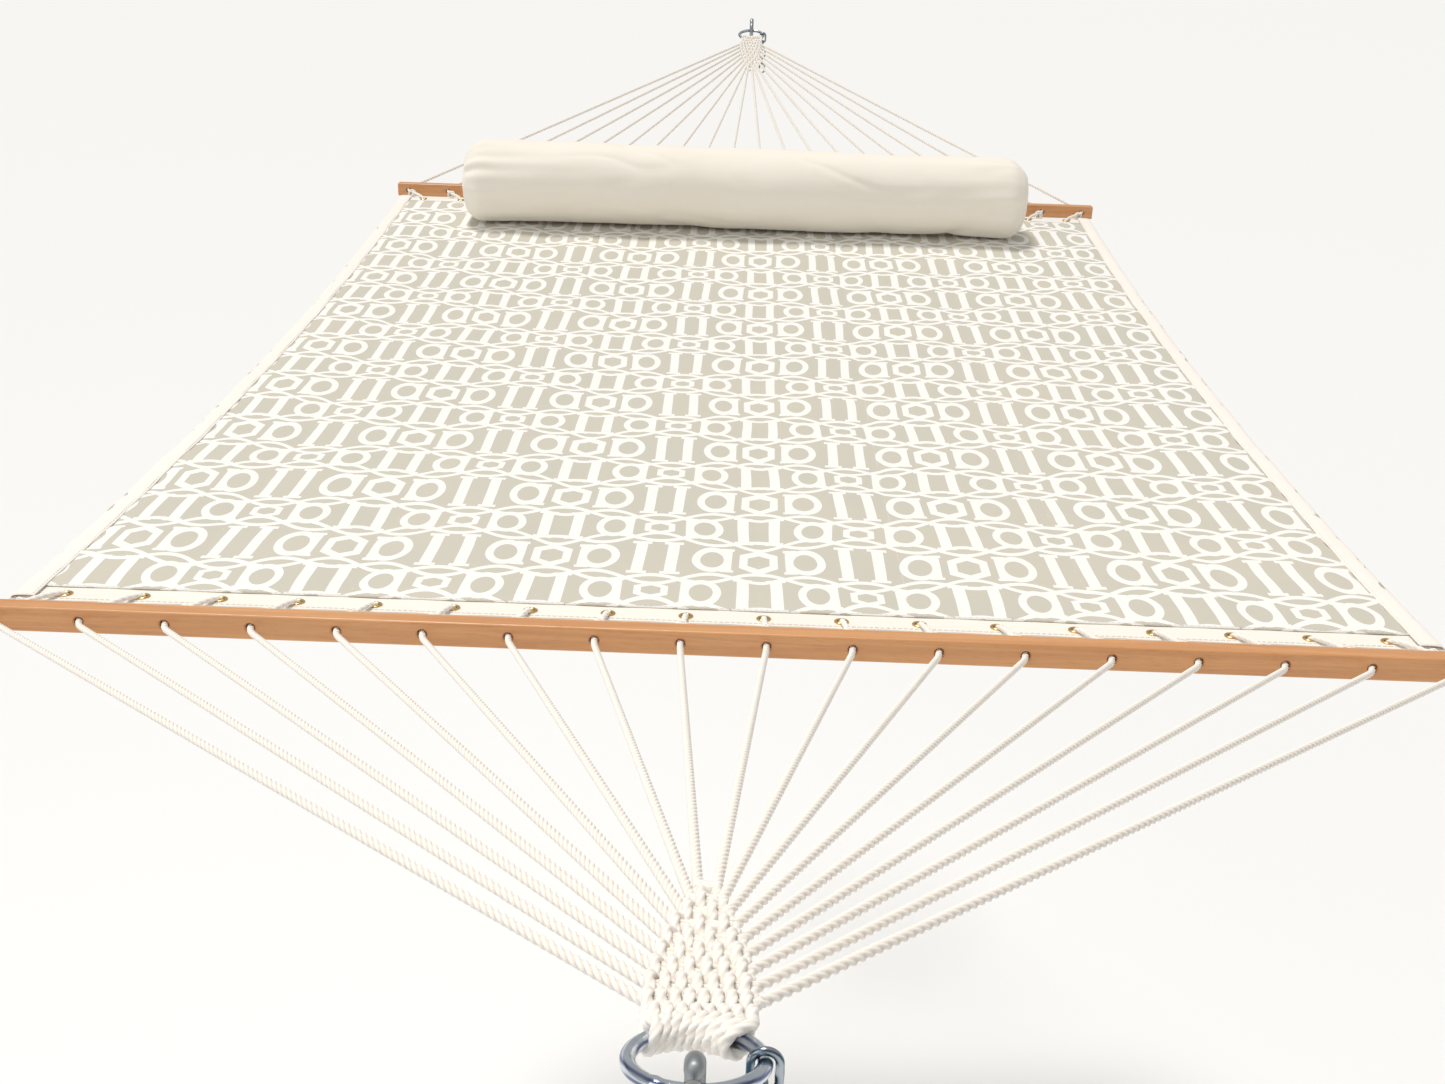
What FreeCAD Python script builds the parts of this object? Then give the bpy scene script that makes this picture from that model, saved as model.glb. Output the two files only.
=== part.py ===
import FreeCAD, Part
import math
import os

# Double hammock: quilted bed between two wooden spreader bars, each bar hung by a fan of ropes
# that are woven into a clew on a metal ring. Millimetres, +Z up, the length along +Y.
# The model is first laid out about the middle of the bed (x = 0, y = 0, z = 0 at the grommet line)
# and then moved so that the origin is the eye of the foot hook, from which the hammock hangs.

os.makedirs("parts", exist_ok=True)
V = FreeCAD.Vector
X_AXIS = V(1, 0, 0)
Y_AXIS = V(0, 1, 0)
Z_AXIS = V(0, 0, 1)

# --- bed ---
bed_width = 1397.0            # 55 in
grommet_span = 1905.0         # foot grommets to head grommets, 75 in
bed_sag = 29.0                # the middle hangs this far under the grommet line
hem_depth = 45.0              # end hem band, along Y
hem_edge = 14.0               # grommet centre to the cloth's end
hem_thickness = 4.0
batting_thickness = 6.0
panel_thickness = 1.0
binding_width = 25.0
binding_thickness = 0.8

# --- ropes, bars and grommets ---
rope_count = 18               # at each end
rope_d = 6.4
hole_pitch = 81.0
grommet_pitch = 76.2          # 3 in
bar_length = 1420.0
bar_depth = 19.0              # along Y
bar_height = 25.4
bar_z = 8.4                   # bar centre over the grommet line
bar_hole_r = 4.5
bar_edge_r = 2.5
hole_chamfer = 1.2
bar_outer_gap = 73.0          # grommet line to the bar's outer face
bend_setback = 4.5            # rope arc's tangent length at the mouths of a bar hole
knot_r = 8.0
knot_gap = 18.0               # knot centre past the bar's inner face
knot_z = 4.0
eye_drop = 8.5                # rope eye's strands above and below the hem's middle
eye_upper_r = 8.2
eye_lower_r = 6.4
grommet_bore_r = 4.2
grommet_barrel_r = 4.9
grommet_flange_r = 7.4
grommet_flange = 0.8

# --- ring, clew, hook and chain ---
ring_mean_r = 29.0
ring_wire_r = 3.5
wrap_reach = 825.8            # bar's outer face to the rope wraps on the ring, along Y
wrap_z = 231.7
clew_first_row = 28.0         # wraps to the row where the outermost ropes leave
clew_row_pitch = 19.5
clew_thickness = 12.0
clew_half_widths = [(6.0, 26.0), (40.0, 27.5), (105.0, 20.5), (192.0, 7.0)]
wrap_half_angle = 48.0
hook_bow_r = 13.5             # centreline
hook_wire_r = 4.5
hook_seat_gap = 1.0
hook_mouth_angle = 75.0
link_count = 5
link_wire_r = 2.0
link_bow_r = 6.2              # centreline
link_straight = 10.0
link_play = 0.3

# --- bolster pillow ---
pillow_length = 1080.0
pillow_r = 76.0
pillow_end_r = 45.0
pillow_cover = 1.2
pillow_y = 810.0
pillow_gap = 0.7

half_span = grommet_span / 2
cloth_end = half_span + hem_edge
quilt_end = cloth_end - hem_depth
sag_r = (half_span ** 2 + bed_sag ** 2) / (2 * bed_sag)
end_slope = math.degrees(math.asin(half_span / sag_r))
bar_outer = half_span + bar_outer_gap
bar_inner = bar_outer - bar_depth
wrap_y = bar_outer + wrap_reach
pull_angle = math.degrees(math.atan2(wrap_z - bar_z, wrap_reach))
eye_reach = 2 * ring_mean_r - ring_wire_r + 3 * hook_bow_r - hook_wire_r - hook_seat_gap
pull_out = V(0, -math.cos(math.radians(pull_angle)), math.sin(math.radians(pull_angle)))
wrap_point = V(0, -wrap_y, wrap_z)
foot_eye = wrap_point + pull_out * eye_reach


def sag_z(y):
    """Height of the bed's middle layer at y."""
    return sag_r - bed_sag - math.sqrt(sag_r ** 2 - y ** 2)


def solid_of(shape):
    """The one valid solid of a boolean's or a sweep's result."""
    solid = shape.Solids[0]
    if not solid.isValid() or len(shape.Solids) != 1:
        raise ValueError("not one valid solid")
    return solid


def save(name, shapes):
    """Move solids from the bed's frame to the foot hook's eye and write the node."""
    moved = []
    for shape in shapes:
        copy = shape.copy()
        copy.translate(foot_eye * -1)
        moved.append(copy)
    node = moved[0] if len(moved) == 1 else Part.makeCompound(moved)
    if node.Volume <= 0:
        raise ValueError(name + " is inside out")
    node.exportStep("parts/" + name + ".step")


def save_ends(name, shapes):
    """Write a piece of the foot end, and its mirror image at the head end."""
    save("foot_" + name, shapes)
    save("head_" + name, [shape.mirror(V(0, 0, 0), Y_AXIS) for shape in shapes])


def hung(shape):
    """Place a piece made in the foot clew's own frame: X across, Y towards the bar, Z its normal."""
    shape.rotate(V(0, 0, 0), X_AXIS, -pull_angle)
    shape.translate(wrap_point)
    return shape


def clew_to_bed(x, t, n=0.0):
    """A point of the foot clew's own frame, in the bed's frame."""
    angle = math.radians(pull_angle)
    y = t * math.cos(angle) + n * math.sin(angle)
    z = n * math.cos(angle) - t * math.sin(angle)
    return wrap_point + V(x, y, z)


def round_tube(points, corner_radii, diameter):
    """A rope: straight runs joined by tangent arcs, one radius for each inner point."""
    edges = []
    start = points[0]
    length = 0.0
    for before, corner, after, radius in zip(points, points[1:], points[2:], corner_radii):
        come = (corner - before).normalize()
        leave = (after - corner).normalize()
        turn = come.getAngle(leave)
        setback = radius * math.tan(turn / 2)
        arc_in = corner - come * setback
        arc_out = corner + leave * setback
        inward = (leave - come).normalize()
        centre = corner + inward * (radius / math.cos(turn / 2))
        middle = centre - inward * radius
        edges.append(Part.LineSegment(start, arc_in).toShape())
        edges.append(Part.Arc(arc_in, middle, arc_out).toShape())
        length += start.distanceToPoint(arc_in) + radius * turn
        start = arc_out
    edges.append(Part.LineSegment(start, points[-1]).toShape())
    length += start.distanceToPoint(points[-1])
    spine = Part.Wire(edges)
    first = (points[1] - points[0]).normalize()
    section = Part.Wire(Part.makeCircle(diameter / 2, points[0], first))
    tube = solid_of(spine.makePipeShell([section], True, False))
    expected = math.pi * diameter ** 2 / 4 * length
    if abs(tube.Volume - expected) > 0.01 * expected:
        raise ValueError("rope volume is wrong")
    return tube, length


def sag_strip(y0, y1, low, high, x0, x1):
    """A strip that follows the bed's sag, between two offsets from its middle layer."""
    centre_z = sag_r - bed_sag

    def on_arc(y, offset):
        radius = sag_r - offset
        angle = math.asin(y / sag_r)
        return V(x0, radius * math.sin(angle), centre_z - radius * math.cos(angle))

    y_mid = (y0 + y1) / 2
    outline = Part.Wire([
        Part.Arc(on_arc(y0, low), on_arc(y_mid, low), on_arc(y1, low)).toShape(),
        Part.LineSegment(on_arc(y1, low), on_arc(y1, high)).toShape(),
        Part.Arc(on_arc(y1, high), on_arc(y_mid, high), on_arc(y0, high)).toShape(),
        Part.LineSegment(on_arc(y0, high), on_arc(y0, low)).toShape(),
    ])
    return Part.Face(outline).extrude(V(x1 - x0, 0, 0))


def revolved(profile):
    """A turned solid from corner points (radius, height)."""
    corners = [V(r, 0, z) for r, z in profile]
    face = Part.Face(Part.makePolygon(corners + corners[:1]))
    return face.revolve(V(0, 0, 0), Z_AXIS, 360)


def rope_places(pitch):
    """X of the ropes at the given pitch, one half only, from the outermost to the innermost."""
    return [(rope_count / 2 - 0.5 - index) * pitch for index in range(rope_count // 2)]


def clew_half_width(t):
    """The clew's half width, taken along straight lines between its stations."""
    for (t0, w0), (t1, w1) in zip(clew_half_widths, clew_half_widths[1:]):
        if t <= t1:
            return w0 + (w1 - w0) * (t - t0) / (t1 - t0)
    return clew_half_widths[-1][1]


def knot_place(side, hole_x, grommet_x):
    """Knot centre of one foot rope, on the line from its bar hole to its grommet."""
    share = (knot_gap - bend_setback) / (bar_inner - half_span - bend_setback)
    return V(side * (hole_x + (grommet_x - hole_x) * share), -bar_inner + knot_gap, knot_z)


def rope_leg(side, row, hole_x, grommet_x):
    """One taut leg: clew edge, bar hole, knot."""
    t = clew_first_row + clew_row_pitch * row
    knot = knot_place(side, hole_x, grommet_x)
    points = [
        clew_to_bed(side * (clew_half_width(t) - rope_d / 2), t),
        V(side * hole_x, -bar_outer - bend_setback - 0.5, bar_z),
        V(side * hole_x, -bar_inner + bend_setback + 0.5, bar_z),
        V(knot.x, knot.y, bar_z - 1),
    ]
    radii = []
    for before, corner, after in zip(points, points[1:], points[2:]):
        turn = (corner - before).getAngle(after - corner)
        radii.append(bend_setback / math.tan(turn / 2))
    tube, length = round_tube(points, radii, rope_d)
    return tube, length, radii


def rope_eye(side, hole_x, grommet_x):
    """The rope's closed eye: from the knot over the hem, down its grommet and back below."""
    knot = knot_place(side, hole_x, grommet_x)
    points = [
        V(knot.x, knot.y, bar_z - 1),
        V(side * grommet_x, -half_span, eye_drop),
        V(side * grommet_x, -half_span, -eye_drop),
        V(knot.x, knot.y, -1),
    ]
    return round_tube(points, [eye_upper_r, eye_lower_r], rope_d)[0]


def make_ropes():
    """Nine rope pairs at the foot end with their knots and eyes, mirrored to the head end."""
    knots = []
    eyes = []
    for row, (hole_x, grommet_x) in enumerate(zip(rope_places(hole_pitch), rope_places(grommet_pitch))):
        legs = [rope_leg(side, row, hole_x, grommet_x) for side in (-1, 1)]
        save_ends("rope_" + str(row + 1), [leg[0] for leg in legs])
        print("rope", row + 1, "leg length", round(legs[0][1], 1), "radii", [round(r, 1) for r in legs[0][2]])
        for side in (-1, 1):
            knots.append(Part.makeSphere(knot_r, knot_place(side, hole_x, grommet_x)))
            eyes.append(rope_eye(side, hole_x, grommet_x))
    save_ends("rope_knots", knots)
    save_ends("rope_eyes", eyes)


def make_bars():
    """Wooden spreader bar with rounded long edges and a countersunk through hole for each rope."""
    corner = V(-bar_length / 2, -bar_outer, bar_z - bar_height / 2)
    bar = Part.makeBox(bar_length, bar_depth, bar_height, corner)
    bar = bar.makeFillet(bar_edge_r, bar.Edges)
    cutters = []
    for hole_x in rope_places(hole_pitch):
        for side in (-1, 1):
            centre = V(side * hole_x, 0, bar_z)
            drill = Part.makeCylinder(bar_hole_r, bar_depth + 2, centre + V(0, -bar_outer - 1, 0), Y_AXIS)
            mouth_r = bar_hole_r + hole_chamfer
            outer = Part.makeCone(mouth_r, bar_hole_r, hole_chamfer, centre + V(0, -bar_outer, 0), Y_AXIS)
            inner = Part.makeCone(mouth_r, bar_hole_r, hole_chamfer, centre + V(0, -bar_inner, 0), Y_AXIS * -1)
            cutters += [drill, outer, inner]
    save_ends("spreader_bar", [solid_of(bar.cut(Part.makeCompound(cutters)))])


def grommet_frames():
    """Centres of the foot grommets, at the slope of the hem there."""
    return [V(side * x, -half_span, 0) for x in rope_places(grommet_pitch) for side in (-1, 1)]


def at_grommet(shape, centre):
    """A copy of a piece made about its own axis, tilted and moved onto a foot grommet's place."""
    copy = shape.copy()
    copy.rotate(V(0, 0, 0), X_AXIS, -end_slope)
    copy.translate(centre)
    return copy


def make_bed():
    """Top panel, batting and bottom panel, edged by side bindings and end hem bands."""
    half_width = bed_width / 2
    core = batting_thickness / 2
    skin = core + panel_thickness
    edge = half_width - binding_thickness
    save("bed_batting", [sag_strip(-quilt_end, quilt_end, -core, core, -edge, edge)])
    save("bed_top_panel", [sag_strip(-quilt_end, quilt_end, core, skin, -edge, edge)])
    save("bed_bottom_panel", [sag_strip(-quilt_end, quilt_end, -skin, -core, -edge, edge)])
    wrap = skin + binding_thickness
    for name, side in (("left_binding", -1), ("right_binding", 1)):
        inner_x = side * (half_width - binding_width)
        low_x, high_x = sorted((inner_x, side * half_width))
        body = sag_strip(-quilt_end, quilt_end, -wrap, wrap, low_x, high_x)
        low_x, high_x = sorted((inner_x - side, side * edge))
        channel = sag_strip(-quilt_end - 1, quilt_end + 1, -skin, skin, low_x, high_x)
        save(name, [solid_of(body.cut(channel))])
    half_hem = hem_thickness / 2
    hem = sag_strip(-cloth_end, -quilt_end, -half_hem, half_hem, -half_width, half_width)
    drill = Part.makeCylinder(grommet_barrel_r, 4 * hem_thickness, V(0, 0, -2 * hem_thickness))
    drills = Part.makeCompound([at_grommet(drill, centre) for centre in grommet_frames()])
    save_ends("end_hem", [solid_of(hem.cut(drills))])


def make_grommets():
    """Two-piece brass eyelets: a flanged barrel from above and a washer below."""
    half_hem = hem_thickness / 2
    top = half_hem + grommet_flange
    barrel = revolved([
        (grommet_bore_r, -half_hem),
        (grommet_barrel_r, -half_hem),
        (grommet_barrel_r, half_hem),
        (grommet_flange_r, half_hem),
        (grommet_flange_r - 0.4, top),
        (grommet_bore_r, top),
    ])
    washer = revolved([
        (grommet_bore_r, -top),
        (grommet_flange_r, -top),
        (grommet_flange_r, -half_hem),
        (grommet_bore_r, -half_hem),
    ])
    save_ends("grommets", [at_grommet(barrel, centre) for centre in grommet_frames()])
    save_ends("grommet_washers", [at_grommet(washer, centre) for centre in grommet_frames()])


def make_clews():
    """Woven rope triangle with the wraps that hold it on the ring."""
    left = [V(-w, t, -clew_thickness / 2) for t, w in clew_half_widths]
    right = [V(w, t, -clew_thickness / 2) for t, w in reversed(clew_half_widths)]
    outline = Part.makePolygon(left + right + left[:1])
    slab = Part.Face(outline).extrude(V(0, 0, clew_thickness))
    slab = slab.makeFillet(clew_thickness / 4, slab.Edges)
    ring_centre = V(0, -ring_mean_r, 0)
    wraps = Part.makeTorus(ring_mean_r, ring_wire_r + rope_d, ring_centre, Z_AXIS, 0, 360,
                           2 * wrap_half_angle)
    wraps.rotate(ring_centre, Z_AXIS, 90 - wrap_half_angle)
    ring_space = Part.makeTorus(ring_mean_r, ring_wire_r + 0.05, ring_centre)
    save_ends("clew", [hung(solid_of(slab.fuse(wraps).cut(ring_space)))])


def make_rings():
    """Round steel ring that the clew is wrapped on."""
    save_ends("ring", [hung(Part.makeTorus(ring_mean_r, ring_wire_r, V(0, -ring_mean_r, 0)))])


def make_hooks():
    """S-hook: one bow holds the ring, the other is the eye that the support holds."""
    seat = V(0, -2 * ring_mean_r + ring_wire_r + hook_seat_gap, 0)
    bow = seat - Y_AXIS * (hook_bow_r - hook_wire_r)
    eye = bow - Y_AXIS * (2 * hook_bow_r)
    cross = (bow + eye) * 0.5

    def on_bow(centre, degrees):
        angle = math.radians(degrees)
        return centre + V(0, hook_bow_r * math.cos(angle), hook_bow_r * math.sin(angle))

    ring_tip = on_bow(bow, 180 - hook_mouth_angle)
    eye_tip = on_bow(eye, -hook_mouth_angle)
    spine = Part.Wire([
        Part.Arc(ring_tip, on_bow(bow, 0), cross).toShape(),
        Part.Arc(cross, on_bow(eye, 180), eye_tip).toShape(),
    ])
    tip_angle = math.radians(180 - hook_mouth_angle)
    along = V(0, -math.sin(tip_angle), math.cos(tip_angle))
    section = Part.Wire(Part.makeCircle(hook_wire_r, ring_tip, along))
    wire = spine.makePipeShell([section], True, False)
    for tip in (ring_tip, eye_tip):
        wire = wire.fuse(Part.makeSphere(hook_wire_r, tip))
    save_ends("hook", [hung(solid_of(wire))])


def chain_link():
    """One welded link in the XZ plane, its upper bow's centre at the origin."""
    bow = Part.Wire(Part.makeCircle(link_wire_r, V(link_bow_r, 0, 0), Z_AXIS))
    upper = Part.Face(bow).revolve(V(0, 0, 0), Y_AXIS, -180)
    lower = upper.mirror(V(0, 0, -link_straight / 2), Z_AXIS)
    link = upper.fuse(lower)
    for side in (-1, 1):
        base = V(side * link_bow_r, 0, -link_straight)
        link = link.fuse(Part.makeCylinder(link_wire_r, link_straight, base))
    return solid_of(link.removeSplitter())


def make_chains():
    """Spare hanging chain that hangs down from the ring's right side, its links at right angles."""
    top = clew_to_bed(ring_mean_r, -ring_mean_r)
    link_pitch = link_straight + 2 * (link_bow_r - link_wire_r) - link_play
    for index in range(link_count):
        link = chain_link()
        if index % 2:
            link.rotate(V(0, 0, 0), Z_AXIS, 90)
        link.translate(top - Z_AXIS * (link_pitch * index))
        save_ends("chain_link_" + str(index + 1), [link])
    print("chain top", top - foot_eye, "pitch", link_pitch)


def make_pillow():
    """Bolster: a sewn cover with rounded ends over one piece of filling."""

    def bolster(inset):
        length = pillow_length - 2 * inset
        base = V(-length / 2, pillow_y, pillow_z)
        body = Part.makeCylinder(pillow_r - inset, length, base, X_AXIS)
        rims = [edge for edge in body.Edges if isinstance(edge.Curve, Part.Circle)]
        return body.makeFillet(pillow_end_r - inset, rims)

    top_of_bed = sag_z(pillow_y) + batting_thickness / 2 + panel_thickness
    pillow_z = top_of_bed + pillow_gap + pillow_r
    filling = bolster(pillow_cover)
    save("pillow_cover", [bolster(0).cut(filling)])
    save("pillow_filling", [filling])
    print("pillow centre", V(0, pillow_y, pillow_z) - foot_eye)


make_hooks()
make_rings()
make_clews()
make_ropes()
make_bars()
make_bed()
make_grommets()
make_chains()
make_pillow()
print("foot eye in the bed's frame", foot_eye, "pull angle", pull_angle, "end slope", end_slope)
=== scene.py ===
import math
import random

import bpy
import numpy as np
from mathutils import Matrix, Vector, noise


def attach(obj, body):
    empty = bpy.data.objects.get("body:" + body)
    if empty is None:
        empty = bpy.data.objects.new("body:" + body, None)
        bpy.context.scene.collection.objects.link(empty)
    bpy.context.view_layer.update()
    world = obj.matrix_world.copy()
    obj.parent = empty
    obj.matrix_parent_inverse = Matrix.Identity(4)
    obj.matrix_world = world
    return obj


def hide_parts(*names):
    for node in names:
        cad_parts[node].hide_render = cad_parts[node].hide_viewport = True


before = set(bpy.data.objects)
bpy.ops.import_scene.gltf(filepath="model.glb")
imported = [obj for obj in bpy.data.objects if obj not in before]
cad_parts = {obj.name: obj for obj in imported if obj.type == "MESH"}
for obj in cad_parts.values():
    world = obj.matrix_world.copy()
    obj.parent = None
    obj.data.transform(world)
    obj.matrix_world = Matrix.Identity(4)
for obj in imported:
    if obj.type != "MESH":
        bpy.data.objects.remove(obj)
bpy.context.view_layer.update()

bl_info = {
    "name": "Rope Hammock Maker",
    "version": (1, 0, 0),
    "blender": (4, 5, 0),
    "location": "View3D > Sidebar > Hammock",
    "description": "Builds a quilted hammock with wooden bars, rope fans and a bolster pillow",
    "category": "Object",
}

# The part is laid out about the middle of the bed, as in its CAD source, and then moved so that
# the origin is the eye of the foot hook. Metres, +Z up, the length along +Y.
FOOT_EYE = Vector((0.0, -1.9376971, 0.2550622))
ENDS = (("foot", 1.0), ("head", -1.0))
SIDES = (-1.0, 1.0)
ROWS = 9

HALF_SPAN = 0.9525            # bed middle to the grommet line
CLOTH_END = 0.9665
QUILT_END = 0.9215
HALF_WIDTH = 0.6985
SAG = 0.029
SAG_R = (HALF_SPAN ** 2 + SAG ** 2) / (2 * SAG)
MIDDLE_DROOP = 0.012          # how far the bed's middle hangs under its edges
CORE = 0.003                  # half the batting
SKIN = 0.004                  # batting and one panel
END_SLOPE = math.asin(HALF_SPAN / SAG_R)

BAR_OUTER = 1.0255
BAR_INNER = 1.0065
BAR_Z = 0.0084
HOLE_PITCH = 0.081
GROMMET_PITCH = 0.0762
BEND_SETBACK = 0.0045
KNOT_GAP = 0.018

PULL = math.radians(15.131172)
WRAP_POINT = Vector((0.0, -1.8513, 0.2317))
RING_R = 0.029
RING_WIRE = 0.0035
CLEW_WIDTHS = ((0.006, 0.026), (0.040, 0.0275), (0.105, 0.0205), (0.192, 0.007))
CLEW_FIRST_ROW = 0.028
CLEW_ROW_PITCH = 0.0195
FIRST_WEFT = 0.0132           # extra pass of the weave next to the ring
FIRST_WEFT_SPREAD = 0.98

PILLOW = Vector((0.0, 0.810, 0.0726662))   # its middle, about the bed's middle
FLOOR_Z = -2.2
OVERLAP = 0.014               # how far the bed cloths lie over the hem bands
CLOTH_SIDE = HALF_WIDTH - 0.0045     # side edge of the bed's cloths, inside the bindings
CLOTH = 0.0007                # thickness of the bed's cloths
BATTING_INSET = 0.0016        # from the cloths' outer face to the batting
BINDING_END = CLOTH_END - 0.001
BINDING_FOLD = 0.0252         # how far a binding reaches over the bed
BINDING_CLOTH = 0.0008
BINDING_STATIONS = 260
BINDING_LINE = HALF_WIDTH - 0.012    # where the binding takes its height from the bed
HEM_WAVE = 0.0003
HOLE_R = 0.0049               # hole for a grommet
STITCH_PITCH, STITCH_LENGTH, THREAD = 0.0056, 0.0040, 0.00036
LINKS = 5
LINK_PITCH = 0.0181
MERGE = 0.00002               # points closer than this are one
GROOVE = 0.34                 # depth of the rope's grooves, of its radius
FINISH = "hammock_"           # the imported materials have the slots' plain names


# ---------------------------------------------------------------- places

def from_bed(point, mirror=1.0):
    """A point about the bed's middle, in the part's frame. mirror -1 puts it at the head end."""
    x, y, z = point
    return Vector((x, y * mirror, z)) - FOOT_EYE


def clew_point(x, t, n=0.0):
    """A point of the foot clew, about the bed's middle: across, towards the bar, off its face."""
    y = t * math.cos(PULL) + n * math.sin(PULL)
    z = n * math.cos(PULL) - t * math.sin(PULL)
    return WRAP_POINT + Vector((x, y, z))


def clew_half_width(t):
    for (t0, w0), (t1, w1) in zip(CLEW_WIDTHS, CLEW_WIDTHS[1:]):
        if t <= t1:
            return w0 + (w1 - w0) * (t - t0) / (t1 - t0)
    return CLEW_WIDTHS[-1][1]


def row_t(row):
    return CLEW_FIRST_ROW + CLEW_ROW_PITCH * row


def rope_x(row, pitch):
    return (ROWS - 0.5 - row) * pitch


def knot_x(row):
    share = (KNOT_GAP - BEND_SETBACK) / (BAR_INNER - HALF_SPAN - BEND_SETBACK)
    hole, grommet = rope_x(row, HOLE_PITCH), rope_x(row, GROMMET_PITCH)
    return hole + (grommet - hole) * share


def sag_z(y):
    return SAG_R - SAG - math.sqrt(SAG_R ** 2 - y ** 2)


# ---------------------------------------------------------------- settings

def colour(name, about, value):
    return bpy.props.FloatVectorProperty(name=name, description=about, subtype="COLOR", size=3,
                                         min=0.0, max=1.0, default=value)


def size(name, about, value):
    return bpy.props.FloatProperty(name=name, description=about, unit="LENGTH", subtype="DISTANCE",
                                   precision=4, min=0.0001, default=value)


class RopeSettings(bpy.types.PropertyGroup):
    diameter: size("Rope diameter", "Diameter of the twisted cotton rope", 0.0064)
    lay: size("Lay", "Length of one turn of the rope's strands", 0.0225)
    step: size("Step", "Distance between the rope's rings of vertices", 0.0018)
    weave: size("Woven diameter", "Diameter of the rope where it is pressed in the clew", 0.0060)
    strands: bpy.props.IntProperty(name="Strands", description="Strands of the rope",
                                   min=3, max=6, default=3)


class BedSettings(bpy.types.PropertyGroup):
    print_width: size("Repeat across", "Width of one repeat of the print", 0.2218)
    print_length: size("Repeat along", "Length of one repeat of the print", 0.2000)
    print_start: bpy.props.FloatProperty(
        name="Print start", description="Place of a tall row along the bed",
        unit="LENGTH", default=-0.794)
    print_side: bpy.props.FloatProperty(
        name="Print side", description="Place of a pair of bars across the bed",
        unit="LENGTH", default=-0.0768)
    puff: size("Puff", "How far the channels stand over the quilting", 0.0030)
    ripple: size("Ripple", "Height of the soft waves in the cloth", 0.0018)


class PillowSettings(bpy.types.PropertyGroup):
    radius: size("Radius", "Radius of the bolster before it is filled", 0.0690)
    length: size("Length", "Length of the bolster before it is filled", 1.0640)
    voxel: size("Mesh size", "Size of the cloth's mesh", 0.0062)
    pressure: bpy.props.FloatProperty(
        name="Filling", description="Pressure of the filling on the cover", min=0.0, default=4.0)
    cap: size("Most swell", "How far the filling may push the cover", 0.0080)


class HammockColours(bpy.types.PropertyGroup):
    rope: colour("Rope", "Crests of the cotton rope", (0.97, 0.935, 0.88))
    # painted shade: the rope's grooves between its strands are mixed towards this darker colour
    rope_groove_shade: colour("Rope grooves", "Between the strands of the rope", (0.68, 0.55, 0.43))
    ground: colour("Print ground", "Ground of the print", (0.60, 0.565, 0.470))
    lattice: colour("Print lattice", "Lattice of the print", (0.94, 0.935, 0.90))
    backing: colour("Backing", "Plain cloth of the underside and hems", (0.91, 0.87, 0.80))
    edge: colour("Edge", "Cloth of the side bindings", (0.94, 0.89, 0.83))
    pillow: colour("Pillow", "Cloth of the pillow", (0.93, 0.88, 0.79))
    wood: colour("Wood", "Light wood of the bars", (0.68, 0.325, 0.125))
    wood_dark: colour("Wood grain", "Dark grain of the bars", (0.48, 0.195, 0.066))
    zinc: colour("Zinc", "Bright zinc of the rings", (0.70, 0.76, 0.82))
    chain: colour("Chain", "Darker zinc of the chains", (0.42, 0.47, 0.52))
    steel: colour("Steel", "Dull steel of the hook", (0.36, 0.38, 0.39))
    brass: colour("Brass", "Brass of the grommets", (0.80, 0.56, 0.24))


def settings(kind):
    return getattr(bpy.context.scene, "hammock_" + kind)


# ---------------------------------------------------------------- mesh helpers

def deselect():
    bpy.ops.object.select_all(action="DESELECT")


def pick(obj):
    deselect()
    obj.select_set(True)
    bpy.context.view_layer.objects.active = obj


def object_mode():
    bpy.ops.object.mode_set(mode="OBJECT")


def edit(obj, action="SELECT"):
    """Edit mode on one object, with all of its mesh selected, or none of it."""
    pick(obj)
    bpy.ops.object.mode_set(mode="EDIT")
    bpy.ops.mesh.select_all(action=action)


def add_object(name, data):
    obj = bpy.data.objects.new(name, data)
    bpy.context.scene.collection.objects.link(obj)
    return obj


def smooth(obj):
    obj.data.polygons.foreach_set("use_smooth", [True] * len(obj.data.polygons))


def face_outwards(obj):
    edit(obj)
    bpy.ops.mesh.normals_make_consistent(inside=False)
    object_mode()


def close_up(obj):
    """Merge what touches, turn all faces outwards and shade smooth."""
    edit(obj)
    bpy.ops.mesh.remove_doubles(threshold=MERGE)
    object_mode()
    face_outwards(obj)
    smooth(obj)


def mesh_object(name, verts, faces):
    mesh = bpy.data.meshes.new(name)
    mesh.from_pydata([tuple(v) for v in verts], [], [tuple(f) for f in faces])
    mesh.update()
    obj = add_object(name, mesh)
    smooth(obj)
    return obj


def noise_at(x, y, z):
    return noise.noise(Vector((x, y, z)))


def coords(obj):
    co = np.empty(len(obj.data.vertices) * 3)
    obj.data.vertices.foreach_get("co", co)
    return co.reshape(-1, 3)


def set_coords(obj, co):
    obj.data.vertices.foreach_set("co", np.asarray(co, float).ravel())
    obj.data.update()


def mark(obj, name, values):
    attribute = obj.data.attributes.new(name, "FLOAT", "POINT")
    attribute.data.foreach_set("value", np.asarray(values, np.float32))


def apply_modifiers(obj):
    pick(obj)
    for modifier in list(obj.modifiers):
        bpy.ops.object.modifier_apply(modifier=modifier.name)


def settle(obj):
    """Put the object at the origin, with its place in its mesh."""
    pick(obj)
    bpy.ops.object.transform_apply(location=True, rotation=True, scale=True)


def hand_over(obj, body, slot, *nodes):
    obj.data.materials.clear()
    obj.data.materials.append(finish_for(slot))
    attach(obj, body)
    if nodes:
        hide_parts(*nodes)
    return obj


def joined(name, parts):
    """One object of several (verts, faces, values) parts; values go to a point attribute, the mask
    of the painted shade in the rope's grooves.
    """
    verts, faces, values, start = [], [], [], 0
    for part_verts, part_faces, part_values in parts:
        verts.append(np.asarray(part_verts))
        faces.extend([tuple(i + start for i in face) for face in part_faces])
        values.append(part_values)
        start += len(part_verts)
    obj = mesh_object(name, np.concatenate(verts), faces)
    mark(obj, "groove_shade", np.concatenate(values))
    return obj


# ---------------------------------------------------------------- rope

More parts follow.
